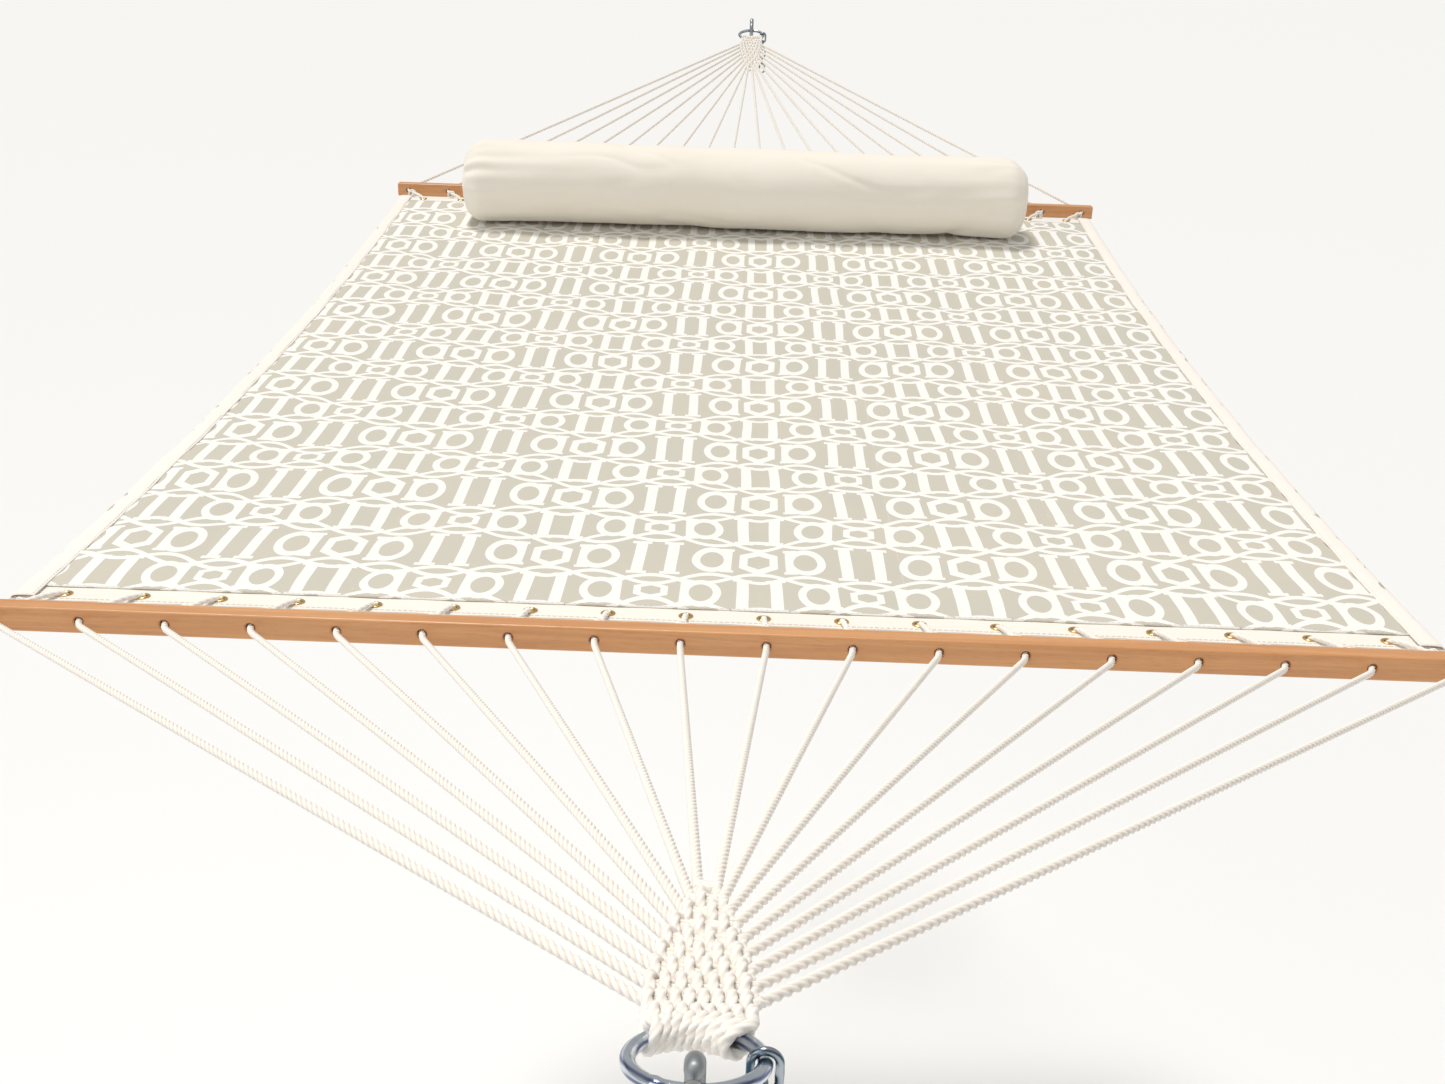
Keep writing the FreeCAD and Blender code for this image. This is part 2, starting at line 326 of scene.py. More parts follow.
def spline_line(points, step):
    """The line of a NURBS spline with those control points, as evenly spaced points."""
    curve = bpy.data.curves.new("route", "CURVE")
    curve.dimensions = "3D"
    spline = curve.splines.new("NURBS")
    spline.points.add(len(points) - 1)
    for place, point in zip(spline.points, points):
        place.co = (*point, 1.0)
    spline.order_u = 3
    spline.use_endpoint_u = True
    spline.resolution_u = 24
    obj = add_object("route", curve)
    graph = bpy.context.evaluated_depsgraph_get()
    mesh = bpy.data.meshes.new_from_object(obj.evaluated_get(graph))
    raw = np.empty(len(mesh.vertices) * 3)
    mesh.vertices.foreach_get("co", raw)
    raw = raw.reshape(-1, 3)
    bpy.data.objects.remove(obj)
    bpy.data.curves.remove(curve)
    bpy.data.meshes.remove(mesh)
    run = np.concatenate([[0.0], np.cumsum(np.linalg.norm(np.diff(raw, axis=0), axis=1))])
    count = max(3, int(round(run[-1] / step)) + 1)
    even = np.linspace(0.0, run[-1], count)
    return np.stack([np.interp(even, run, raw[:, axis]) for axis in range(3)], axis=1), run[-1]


def line_frames(line):
    """Tangents, and two cross directions that turn as little as they can."""
    tangents = np.gradient(line, axis=0)
    tangents /= np.linalg.norm(tangents, axis=1)[:, None]
    up = np.array((0.0, 0.0, 1.0))
    if abs(tangents[0] @ up) > 0.9:
        up = np.array((1.0, 0.0, 0.0))
    across = np.empty_like(line)
    current = up
    for index, tangent in enumerate(tangents):
        current = current - tangent * (current @ tangent)
        current = current / np.linalg.norm(current)
        across[index] = current
    return tangents, across, np.cross(tangents, across)


def twisted_rope(line, radius, turn=0.0, ends=1.0, depth=GROOVE):
    """Rope whose rings of vertices turn with its strands: verts, faces, and values that mask the
    painted shade in its grooves.
    """
    rope = settings("rope")
    strands = rope.strands
    sides = strands * 5
    tangents, across, other = line_frames(line)
    run = np.concatenate([[0.0], np.cumsum(np.linalg.norm(np.diff(line, axis=0), axis=1))])
    around = np.arange(sides)[None, :] / sides
    angle = turn + 2 * math.pi * (run[:, None] / rope.lay + around)
    profile = np.tile([1.0, 1 - depth / 5, 1 - depth, 1 - depth, 1 - depth / 5], strands)
    swell = np.ones(len(line))
    swell[0] = swell[-1] = ends
    reach = radius * profile[None, :] * swell[:, None]
    verts = (line[:, None, :] + across[:, None, :] * (np.cos(angle) * reach)[:, :, None]
             + other[:, None, :] * (np.sin(angle) * reach)[:, :, None]).reshape(-1, 3)
    faces = []
    for ring in range(len(line) - 1):
        base = ring * sides
        for side in range(sides):
            after = (side + 1) % sides
            faces.append((base + side, base + after, base + sides + after, base + sides + side))
    last = (len(line) - 1) * sides
    faces.append(tuple(range(sides - 1, -1, -1)))
    faces.append(tuple(range(last, last + sides)))
    # 1 in the grooves between the strands: where the rope's material paints shade
    values = np.tile(np.tile([0.0, 0.2, 1.0, 1.0, 0.2], strands), len(line)) * depth / GROOVE
    return verts, faces, values


def leg_points(side, row):
    """Control points of one taut leg at the foot end: clew edge, bar hole, knot."""
    t = row_t(row)
    start = clew_point(side * (clew_half_width(t) - 0.0032), t)
    mouth = Vector((side * rope_x(row, HOLE_PITCH), -BAR_OUTER - BEND_SETBACK - 0.0005, BAR_Z))
    near_mouth = mouth + (start - mouth).normalized() * 0.038
    behind = Vector((mouth.x, -BAR_INNER + BEND_SETBACK + 0.0005, BAR_Z))
    knot = Vector((side * knot_x(row), -BAR_INNER + KNOT_GAP, BAR_Z - 0.001))
    return [start, near_mouth, mouth, behind, knot]


class HAMMOCK_OT_rope_legs(bpy.types.Operator):
    """Thirty-six taut rope legs, from the clews through the bars to their knots"""
    bl_idname = "hammock.rope_legs"
    bl_label = "Rope Legs"

    def execute(self, context):
        rope = settings("rope")
        draw = random.Random(11)
        for end, mirror in ENDS:
            for row in range(ROWS):
                for side in SIDES:
                    points = [from_bed(p, mirror) for p in leg_points(side, row)]
                    line, length = spline_line(points, rope.step)
                    parts = [twisted_rope(line, rope.diameter / 2, draw.uniform(0, 6.28), 0.86)]
                    hand = "left" if side < 0 else "right"
                    obj = joined(f"{end}_rope_{row + 1}_{hand}", parts)
                    hand_over(obj, "hammock", "cotton_rope", f"{end}_rope_{row + 1}")
                    rope.diameter
        return {"FINISHED"}


# ---------------------------------------------------------------- clews

def weave_half_width(row):
    """Half the woven width at a row. The strands bulge past the clew's straight outline."""
    share = row / (ROWS - 1)
    return clew_half_width(row_t(row)) + 0.0016 * math.sin(math.pi * share)


def nettle_x(index, row):
    """Place across the clew of one strand of the weave at a row."""
    inside = ROWS - 1.5 - row
    pitch = 0.0064 if inside < 1 else min(0.0066, (weave_half_width(row) - 0.0030) / inside)
    return (index - ROWS + 0.5) * pitch


def nettle_points(index):
    """One strand of the weave from the ring to the start of its leg, in the clew's own frame."""
    left = index < ROWS
    row = index if left else 2 * ROWS - 1 - index
    side = -1.0 if left else 1.0
    n = 0.0042 if index % 2 else -0.0042
    first = nettle_x(index, 0) * FIRST_WEFT_SPREAD
    points = [(first, FIRST_WEFT - 0.0034, -n), (first, FIRST_WEFT + 0.0036, -n)] if row else []
    for passed in range(row):
        n = 0.0046 if (index + passed) % 2 else -0.0046
        for shift in (-0.0040, 0.0042):
            points.append((nettle_x(index, passed), row_t(passed) + shift, n))
    t = row_t(row)
    w = weave_half_width(row)
    shift = -0.0029 if left else 0.0029
    points += [
        (side * (w - 0.0034), t - 0.010 + shift / 2, 0.0),
        (side * (w - 0.0024), t + shift - 0.001, 0.0),
        (side * (w - 0.0095), t + shift, 0.0),
        (0.0, t + shift, 0.0),
        (-side * (w - 0.0115), t + shift, 0.0),
        (-side * (w - 0.0060), t + shift * 0.5, 0.0),
    ]
    if row >= 7:
        del points[-4]
    return points, -side, row


def loop_points(pair):
    """A doubled rope over the ring wire, from its underside strand to its upper strand."""
    angle = (pair - (ROWS - 1) / 2) * math.radians(10.67)
    out_x, out_t = math.sin(angle), math.cos(angle)
    centre_x, centre_t = RING_R * out_x, RING_R * out_t - RING_R
    points = []
    for degrees in (215, 180, 135, 90, 45, 0, -35):
        turn = math.radians(degrees)
        inward = 0.0069 * math.sin(turn)
        skew = 0.0022 * math.cos(turn) - 0.0042 * max(0.0, math.sin(turn))
        points.append((centre_x - out_x * inward + skew, centre_t - out_t * inward,
                       0.0069 * math.cos(turn)))
    return points


class HAMMOCK_OT_clews(bpy.types.Operator):
    """Nine doubled ropes over each ring, woven flat and let out one pair at a row"""
    bl_idname = "hammock.clews"
    bl_label = "Clews"

    def execute(self, context):
        rope = settings("rope")
        for end, mirror in ENDS:
            parts = []
            for pair in range(ROWS):
                under, under_side, under_row = nettle_points(2 * pair)
                over, over_side, over_row = nettle_points(2 * pair + 1)
                local = under[::-1] + loop_points(pair) + over
                points = [clew_point(*p) for p in local]
                for at, side, row in ((0, under_side, under_row),
                                      (len(points), over_side, over_row)):
                    leg = leg_points(side, row)
                    ahead = leg[0] + (leg[1] - leg[0]).normalized() * 0.007
                    points[at:at] = [ahead, leg[0]] if at == 0 else [leg[0], ahead]
                line, _ = spline_line([from_bed(p, mirror) for p in points], rope.step * 1.15)
                parts.append(twisted_rope(line, rope.weave / 2, pair * 1.3, depth=0.22))
            reach = clew_half_width(FIRST_WEFT) - 0.0035
            weft = [from_bed(clew_point(x, FIRST_WEFT + t), mirror)
                    for x, t in ((-reach, 0.0028), (-reach - 0.001, 0.0004), (-reach * 0.7, 0),
                                 (0, 0), (reach * 0.7, 0), (reach + 0.001, 0.0004),
                                 (reach, 0.0028))]
            line, _ = spline_line(weft, rope.step)
            parts.append(twisted_rope(line, rope.weave / 2, depth=0.22))
            obj = joined(end + "_clew_weave", parts)
            hand_over(obj, "hammock", "cotton_rope", end + "_clew")
        return {"FINISHED"}


# ---------------------------------------------------------------- knots and eyes

def knot_points(side, row, draw):
    """An overhand knot: the leg comes in, winds round itself and leaves a short tail."""
    x, y, z = side * knot_x(row), -BAR_INNER + KNOT_GAP, 0.0052
    start = draw.uniform(0, 2 * math.pi)
    points = [(x, y - 0.0105, BAR_Z - 0.0004)]
    turns, count, reach = 2.1, 17, 0.0056
    for index in range(count):
        share = index / (count - 1)
        angle = start + 2 * math.pi * turns * share
        points.append((x + reach * math.cos(angle), y - 0.0062 + 0.0124 * share,
                       z + reach * math.sin(angle)))
    droop = draw.uniform(-0.004, 0.004)
    points += [(x + 0.004 * side + droop, y + 0.0095, z - 0.0045),
               (x + 0.008 * side + 2 * droop, y + 0.0105, z - 0.0085),
               (x + 0.012 * side + 3 * droop, y + 0.0090, z - 0.0100)]
    return points


def eye_points(side, row):
    x, y = side * knot_x(row), -BAR_INNER + KNOT_GAP
    grommet = side * rope_x(row, GROMMET_PITCH)
    return [(x, y, 0.0074), (grommet, -HALF_SPAN, 0.0085),
            (grommet, -HALF_SPAN, -0.0085), (x, y, -0.001)]


class HAMMOCK_OT_knots(bpy.types.Operator):
    """Knots behind the bars and the closed rope eyes that hold the grommets"""
    bl_idname = "hammock.knots"
    bl_label = "Knots and Eyes"

    def execute(self, context):
        rope = settings("rope")
        draw = random.Random(5)
        for end, mirror in ENDS:
            knots, eyes = [], []
            for row in range(ROWS):
                for side in SIDES:
                    route = [from_bed(p, mirror) for p in knot_points(side, row, draw)]
                    line, _ = spline_line(route, 0.0021)
                    knots.append(twisted_rope(line, 0.0027, draw.uniform(0, 6.28), 0.9))
                    route = [from_bed(p, mirror) for p in eye_points(side, row)]
                    line, _ = spline_line(route, 0.0019)
                    eyes.append(twisted_rope(line, 0.0030, draw.uniform(0, 6.28), 0.8, 0.16))
            for kind, parts in (("knots", knots), ("eyes", eyes)):
                hand_over(joined(f"{end}_{kind}", parts), "hammock", "cotton_rope",
                          f"{end}_rope_{kind}")
        return {"FINISHED"}


# ---------------------------------------------------------------- bed

QUILT_LINES = (-0.6735, -0.552, -0.374, -0.190, 0.034, 0.184, 0.372, 0.530, 0.6735)


def channel(x):
    """0 on a quilting line to 1 midway between two, and how far the nearest line is."""
    for low, high in zip(QUILT_LINES, QUILT_LINES[1:]):
        if low <= x <= high:
            return math.sin(math.pi * (x - low) / (high - low)) ** 0.55, min(x - low, high - x)
    return 0.0, 0.0


def bed_relief(x, y):
    """The bed's middle layer about the bed's middle, and how far its top stands over CORE there."""
    bed = settings("bed")
    droop = (MIDDLE_DROOP * max(0.0, 1 - (x / HALF_WIDTH) ** 2)
             * max(0.0, 1 - (y / QUILT_END) ** 2))
    crown, near = channel(x)
    ends = min(1.0, (QUILT_END - abs(y)) / 0.03) if abs(y) < QUILT_END else 0.0
    wave = noise_at(x * 1.6, y * 8.5, 3.0) + 0.5 * noise_at(x * 4.0, y * 21.0, 7.0)
    pucker = math.exp(-near / 0.018) * noise_at(x * 9.0, y * 42.0, 1.0)
    middle = sag_z(y) - droop + bed.ripple * wave * ends
    return middle, (bed.puff * crown + 0.0018 * pucker) * max(0.0, ends) ** 0.5


def bed_sheet(name, across, along, top, half_x, half_y, inset=0.0):
    """A grid over the bed, laid on its relief, with a UV map in metres."""
    deselect()
    bpy.ops.mesh.primitive_grid_add(x_subdivisions=across, y_subdivisions=along, size=2.0,
                                    location=(0, 0, 0))
    obj = bpy.context.active_object
    obj.name = obj.data.name = name
    co = coords(obj)
    co[:, 0] *= half_x
    co[:, 1] *= half_y
    flat = co[:, :2].copy()
    face = panel_face(top)
    for place in co:
        place[2] = face(place[0], place[1]) - top * inset
    co -= np.array(FOOT_EYE)
    set_coords(obj, co)
    if top < 0:
        edit(obj)
        bpy.ops.mesh.flip_normals()
        object_mode()
    uv = obj.data.uv_layers.active or obj.data.uv_layers.new(name="cloth")
    uv.name = "cloth"
    loops = np.empty(len(obj.data.loops), int)
    obj.data.loops.foreach_get("vertex_index", loops)
    uv.data.foreach_set("uv", flat[loops].ravel())
    smooth(obj)
    return obj


class HAMMOCK_OT_bed(bpy.types.Operator):
    """Printed top cloth, batting and plain bottom cloth, quilted in long channels"""
    bl_idname = "hammock.bed"
    bl_label = "Quilted Bed"

    def execute(self, context):
        for name, top, fine, slot, panel in (
                ("bed_top_cloth", 1.0, (150, 200), "lattice_print", "bed_top_panel"),
                ("bed_bottom_cloth", -1.0, (100, 130), "backing_cloth", "bed_bottom_panel")):
            obj = bed_sheet(name, *fine, top, CLOTH_SIDE, QUILT_END + OVERLAP)
            solid = obj.modifiers.new("cloth", "SOLIDIFY")
            solid.thickness = CLOTH
            solid.offset = -1.0
            apply_modifiers(obj)
            hand_over(obj, "hammock", slot, panel)
        upper, lower = (bed_sheet(name, 60, 80, top, CLOTH_SIDE - 0.002, QUILT_END - 0.002,
                                  BATTING_INSET)
                        for name, top in (("bed_filling", 1.0), ("filling_under", -1.0)))
        pick(upper)
        lower.select_set(True)
        bpy.ops.object.join()
        edit(upper, "DESELECT")
        bpy.ops.mesh.select_non_manifold()
        bpy.ops.mesh.bridge_edge_loops()
        object_mode()
        face_outwards(upper)
        hand_over(upper, "hammock", "polyester_batting", "bed_batting")
        return {"FINISHED"}


class HAMMOCK_OT_bindings(bpy.types.Operator):
    """Folded cloth strips sewn over the bed's long edges"""
    bl_idname = "hammock.bindings"
    bl_label = "Side Bindings"

    def execute(self, context):
        outer = [(-BINDING_FOLD, 0.0049), (-0.0235, 0.0053), (-0.017, 0.0055), (-0.008, 0.0053),
                 (-0.0025, 0.0043), (-0.0004, 0.0024), (0.0, 0.0)]
        section = outer + [(u, -w) for u, w in outer[-2::-1]]
        inner = [(max(-BINDING_FOLD, u - (BINDING_CLOTH if abs(w) < 0.0048 else 0.0)),
                  w - math.copysign(BINDING_CLOTH, w) if w else 0.0)
                 for u, w in section]
        loop = section + inner[::-1]
        corners, stations = len(loop), BINDING_STATIONS
        for name, side in (("left_binding", -1.0), ("right_binding", 1.0)):
            verts, faces = [], []
            for index in range(stations):
                y = BINDING_END * (2 * index / (stations - 1) - 1)
                middle, _ = bed_relief(side * BINDING_LINE, y)
                scallop = 0.0007 * math.sin(y * 58) + 0.0012 * noise_at(side * 3, y * 14, 2)
                plump = 1.0 + 0.16 * noise_at(side * 5, y * 34, 9)
                for u, w in loop:
                    lift = plump if -0.0235 < u < -0.002 else 1.0
                    ease = abs(scallop * (1 + u / BINDING_FOLD))
                    verts.append(from_bed((side * (HALF_WIDTH + u - ease), y, middle + w * lift)))
            for index in range(stations - 1):
                for corner in range(corners):
                    after = (corner + 1) % corners
                    a, b = index * corners + corner, index * corners + after
                    faces.append((a, b, b + corners, a + corners))
            faces.append(tuple(range(corners - 1, -1, -1)))
            faces.append(tuple(range((stations - 1) * corners, stations * corners)))
            obj = mesh_object(name + "_cloth", verts, faces)
            face_outwards(obj)
            hand_over(obj, "hammock", "edge_cloth", name)
        return {"FINISHED"}


class HAMMOCK_OT_hems(bpy.types.Operator):
    """Folded end bands with a hole for each grommet"""
    bl_idname = "hammock.hems"
    bl_label = "End Hems"

    def execute(self, context):
        for end, mirror in ENDS:
            deselect()
            bpy.ops.mesh.primitive_grid_add(x_subdivisions=220, y_subdivisions=10, size=2.0)
            obj = bpy.context.active_object
            obj.name = obj.data.name = end + "_hem_cloth"
            edit(obj)
            bpy.ops.mesh.extrude_region_move(TRANSFORM_OT_translate={"value": (0, 0, -1)})
            object_mode()
            co = coords(obj)
            low = co[:, 2] < -0.5
            middle_y = (CLOTH_END + QUILT_END) / 2
            for place, under in zip(co, low):
                u, v = place[0], place[1]
                x = u * HALF_WIDTH
                rim = max(0.0, 1 - abs(v) ** 6 * 0.75) * max(0.0, 1 - abs(u) ** 60 * 0.6)
                spacing = abs(((x / GROMMET_PITCH) % 1.0) - 0.5)
                toward = math.exp(-((v + 0.38) / 0.5) ** 2)
                wave = HEM_WAVE * noise_at(x * 14, v * 1.3, 4 + mirror)
                edge = 0.0012 * (0.5 - 2 * spacing) if v < -0.8 else 0.0
                y = -middle_y + v * (CLOTH_END - QUILT_END) / 2 - edge
                y = max(-CLOTH_END - 0.001, y)
                thick = (0.0020 + 0.0006 * (2 * spacing) * (1 - toward)) * (0.30 + 0.70 * rim)
                place[:] = (x, y * mirror, sag_z(abs(y)) + wave + (-thick if under else thick))
            co -= np.array(FOOT_EYE)
            set_coords(obj, co)
            face_outwards(obj)
            punches = []
            for x, slope in grommet_spots(mirror):
                bpy.ops.mesh.primitive_cylinder_add(
                    vertices=24, radius=HOLE_R, depth=0.02, rotation=(slope, 0, 0),
                    location=from_bed((x, -HALF_SPAN, 0.0), mirror))
                punches.append(bpy.context.active_object)
            deselect()
            for punch in punches:
                punch.select_set(True)
            bpy.context.view_layer.objects.active = punches[0]
            bpy.ops.object.join()
            cut = obj.modifiers.new("holes", "BOOLEAN")
            cut.operation = "DIFFERENCE"
            cut.solver = "EXACT"
            cut.object = punches[0]
            apply_modifiers(obj)
            bpy.data.objects.remove(punches[0])
            smooth(obj)
            pick(obj)
            bpy.ops.object.shade_smooth_by_angle(angle=math.radians(50))
            hand_over(obj, "hammock", "backing_cloth", end + "_end_hem")
        return {"FINISHED"}


# ---------------------------------------------------------------- stitching

def stitch_row(start, end, height, side):
    """Thread stitches from start to end over a surface, each an arch that dips in at its ends."""
    start, end = Vector(start), Vector(end)
    run = (end - start).length
    along = (end - start).normalized()
    across = Vector((-along.y, along.x, 0.0))
    verts, faces = [], []
    for number in range(int(run / STITCH_PITCH)):
        middle = start + along * (STITCH_PITCH * (number + 0.5))
        base = len(verts)
        for shift, lift in ((-0.5, -0.7), (-0.22, 0.75), (0.22, 0.75), (0.5, -0.7)):
            place = middle + along * (STITCH_LENGTH * shift)
            z = height(place.x, place.y) + side * THREAD * lift
            for u, w in ((1, 0), (0, 1), (-1, 0), (0, -1)):
                verts.append(from_bed((place.x + across.x * THREAD * u,
                                       place.y + across.y * THREAD * u, z + THREAD * 0.8 * w)))
        for ring in range(3):
            for corner in range(4):
                a, b = base + 4 * ring + corner, base + 4 * ring + (corner + 1) % 4
                faces.append((a, b, b + 4, a + 4))
        faces += [(base + 3, base + 2, base + 1, base),
                  (base + 12, base + 13, base + 14, base + 15)]
    return verts, faces


def panel_face(top):
    """Height of the bed's upper or lower cloth, about the bed's middle."""
    def height(x, y):
        middle, lift = bed_relief(x, y)
        ease = min(1.0, max(0.0, (QUILT_END - abs(y)) / 0.035))
        ease = ease * ease * (3 - 2 * ease)
        return middle + top * (0.0037 + (CORE - 0.0027) * ease + lift)
    return height


class HAMMOCK_OT_stitching(bpy.types.Operator):
    """Quilting, binding and hem stitches"""
    bl_idname = "hammock.stitching"
    bl_label = "Stitching"

    def execute(self, context):
        end = QUILT_END - 0.004
        for name, side in (("stitches_top", 1.0), ("stitches_under", -1.0)):
            rows = [((x, -end, 0), (x, end, 0), panel_face(side)) for x in QUILT_LINES[1:-1]]
            edge = HALF_WIDTH - 0.0225
            for hand in SIDES:
                rows.append(((hand * edge, 0.004 - CLOTH_END, 0),
                             (hand * edge, CLOTH_END - 0.004, 0),
                             lambda x, y: bed_relief(BINDING_LINE, y)[0] + side * 0.0054))
            for y, height in ((QUILT_END + OVERLAP - 0.003, panel_face(side)),
                              (CLOTH_END - 0.0030, lambda x, y: sag_z(y) + side * 0.0021)):
                for hand in SIDES:
                    rows.append(((0.026 - HALF_WIDTH, hand * y, 0),
                                 (HALF_WIDTH - 0.026, hand * y, 0), height))
            parts = []
            for start, stop, height in rows:
                verts, faces = stitch_row(start, stop, height, side)
                parts.append((verts, faces, np.zeros(len(verts))))
            hand_over(joined(name, parts), "hammock", "edge_cloth")
        return {"FINISHED"}


# ---------------------------------------------------------------- metal

def grommet_spots(mirror):
    return [(side * rope_x(row, GROMMET_PITCH), -END_SLOPE * mirror)
            for row in range(ROWS) for side in SIDES]


def turned(name, profile, steps):
    """A closed ring spun from a closed profile of (radius, height)."""
    mesh = bpy.data.meshes.new(name)
    edges = [(i, (i + 1) % len(profile)) for i in range(len(profile))]
    mesh.from_pydata([(r, 0, z) for r, z in profile], edges, [])
    obj = add_object(name, mesh)
    edit(obj)
    bpy.ops.mesh.spin(steps=steps, angle=2 * math.pi, center=(0, 0, 0), axis=(0, 0, 1))
    object_mode()
    close_up(obj)
    return obj


def repeated(name, base, places):
    """One object of copies of a finished shape, each moved by its matrix. The base is removed."""
    co = coords(base)
    faces = [tuple(p.vertices) for p in base.data.polygons]
    verts, all_faces = [], []
    for index, matrix in enumerate(places):
        m = np.array(matrix)
        verts.append(co @ m[:3, :3].T + m[:3, 3])
        all_faces.extend([tuple(v + index * len(co) for v in face) for face in faces])
    bpy.data.objects.remove(base)
    return mesh_object(name, np.concatenate(verts), all_faces)


class HAMMOCK_OT_grommets(bpy.types.Operator):
    """Brass eyelets with rolled rims, and the washers under them"""
    bl_idname = "hammock.grommets"
    bl_label = "Grommets"

    def execute(self, context):
        rim = [(0.0042, -0.0020), (0.0042, 0.0024)]
        rim += [(0.0058 - 0.0016 * math.cos(a), 0.0024 + 0.0011 * math.sin(a))
                for a in np.linspace(0.35, math.pi - 0.1, 7)]
        rim += [(0.0073, 0.0019), (0.0049, 0.0019), (0.0049, -0.0020)]
        flat = [(0.0043, -0.0021), (0.0072, -0.0021), (0.0074, -0.0025), (0.0068, -0.0031),
                (0.0058, -0.0034), (0.0048, -0.0031), (0.0043, -0.0027)]
        for end, mirror in ENDS:
            places = [Matrix.Translation(from_bed((x, -HALF_SPAN, 0.0), mirror))
                      @ Matrix.Rotation(slope, 4, "X") for x, slope in grommet_spots(mirror)]
            for piece, profile, steps, replaced in (
                    ("_eyelets", rim, 28, "_grommets"),
                    ("_eyelet_washers", flat, 24, "_grommet_washers")):
                obj = repeated(end + piece, turned("turned", profile, steps), places)
                hand_over(obj, "hammock", "grommet_brass", end + replaced)
        return {"FINISHED"}


def spin(steps, degrees, centre, axis):
    """Spin what is selected, right-handed about the axis. The operator turns the other way."""
    bpy.ops.mesh.spin(steps=steps, angle=-math.radians(degrees), center=centre, axis=axis)


def mark_painted_reflection(obj, amount):
    """Mark painted reflections: darker bands that follow the turn of a wire, set from its normals
    like the dark streaks that bright zinc reflects.
    """
    normals = np.empty(len(obj.data.vertices) * 3)
    obj.data.vertices.foreach_get("normal", normals)
    values = []
    for place, normal in zip(coords(obj), normals.reshape(-1, 3)):
        drift = 1.4 * noise.noise(Vector(place) * 75)
        band = math.sin(5.2 * normal[2] + 3.4 * normal[1] + 1.7 * normal[0] + drift)
        values.append(amount * min(1.0, max(0.0, 0.30 + 1.1 * band)))
    mark(obj, "painted_reflection", values)


def placed_copy(obj, name, place):
    """A copy of a finished shape, with each of its points moved by place."""
    copy = add_object(name, obj.data.copy())
    copy.data.name = name
    set_coords(copy, [place(point) for point in coords(obj)])
    close_up(copy)
    return copy


def wire_ring():
    """Welded round ring: a torus whose wire swells at its weld."""
    deselect()
    bpy.ops.mesh.primitive_torus_add(major_segments=128, minor_segments=28, major_radius=RING_R,
                                     minor_radius=RING_WIRE, location=(0, -RING_R, 0))
    ring = bpy.context.active_object
    settle(ring)
    co = coords(ring)
    for place in co:
        around = math.atan2(place[1] + RING_R, place[0])
        core = Vector((RING_R * math.cos(around), RING_R * math.sin(around) - RING_R, 0.0))
        past_weld = (around - math.radians(236) + math.pi) % (2 * math.pi) - math.pi
        from_weld = math.degrees(abs(past_weld))
        bead = (0.13 * math.exp(-(from_weld / 4.2) ** 2)
                - 0.05 * math.exp(-((from_weld - 7.0) / 1.6) ** 2))
        lumps = 0.05 * noise.noise(Vector(place) * 420) * math.exp(-(from_weld / 6.0) ** 2)
        place[:] = core + (Vector(place) - core) * (1 + bead + lumps)
    set_coords(ring, co)
    # painted reflection: dark bands along the ring's wire
    mark_painted_reflection(ring, 0.9)
    return ring


def round_end(obj, centre, outward, radius):
    """Close an open end of a wire with a rounded tip."""
    edit(obj, "DESELECT")
    object_mode()
    for vertex in obj.data.vertices:
        out = vertex.co - centre
        if abs(out.length - radius) < 0.0004 and abs(out.dot(outward)) < 0.0001:
            vertex.select = True
    bpy.ops.object.mode_set(mode="EDIT")
    reached, size_now = 0.0, radius
    for degrees in (22, 44, 64, 82):
        turn = math.radians(degrees)
        step = radius * 0.85 * math.sin(turn) - reached
        reached += step
        wanted = radius * math.cos(turn)
        bpy.ops.mesh.extrude_region_move(TRANSFORM_OT_translate={"value": outward * step})
        share = wanted / size_now
        bpy.ops.transform.resize(value=(share, share, share),
                                 center_override=centre + outward * reached)
        size_now = wanted
    bpy.ops.mesh.edge_face_add()
    object_mode()


def s_hook():
    """Forged S-hook in the clew's frame: a round bar spun round its two bows, with rounded tips."""
    radius, bow_r, mouth = 0.0045, 0.0135, 75.0
    bow = Vector((0, -2 * RING_R + RING_WIRE + 0.001 - (bow_r - radius), 0))
    eye = bow - Vector((0, 2 * bow_r, 0))
    start = math.radians(180 - mouth)
    ring_tip = bow + Vector((0, bow_r * math.cos(start), bow_r * math.sin(start)))
    deselect()
    bpy.ops.mesh.primitive_circle_add(vertices=24, radius=radius, location=ring_tip,
                                      rotation=(-math.radians(mouth), 0, 0))
    hook = bpy.context.active_object
    settle(hook)
    edit(hook)
    spin(40, mouth - 360, bow, (1, 0, 0))
    spin(40, 360 - mouth, eye, (1, 0, 0))
    object_mode()
    for middle, turn in ((bow, start), (eye, math.radians(-mouth))):
        tip = middle + Vector((0, bow_r * math.cos(turn), bow_r * math.sin(turn)))
        round_end(hook, tip, Vector((0, -math.sin(turn), math.cos(turn))), radius)
    close_up(hook)
    return hook


def chain_link():
    """Welded link in the XZ plane, its upper bow's centre at the origin."""
    wire, bow_r, straight = 0.0020, 0.0062, 0.0100
    deselect()
    bpy.ops.mesh.primitive_circle_add(vertices=16, radius=wire, location=(bow_r, 0, 0))
    link = bpy.context.active_object
    settle(link)
    edit(link)
    for low, step in ((0, -straight / 5), (-straight, straight / 5)):
        spin(18, -180, (0, 0, low), (0, 1, 0))
        for _ in range(5):
            bpy.ops.mesh.extrude_region_move(TRANSFORM_OT_translate={"value": (0, 0, step)})
    object_mode()
    close_up(link)
    co = coords(link)
    for place in co:
        if place[0] > 0.003 and -straight < place[2] < 0:
            bead = 0.16 * math.exp(-((place[2] + straight / 2) / 0.0011) ** 2)
            place[0] = bow_r + (place[0] - bow_r) * (1 + bead)
            place[1] *= 1 + bead
    set_coords(link, co)
    # painted reflection: dark bands along the link's wire
    mark_painted_reflection(link, 1.0)
    return link


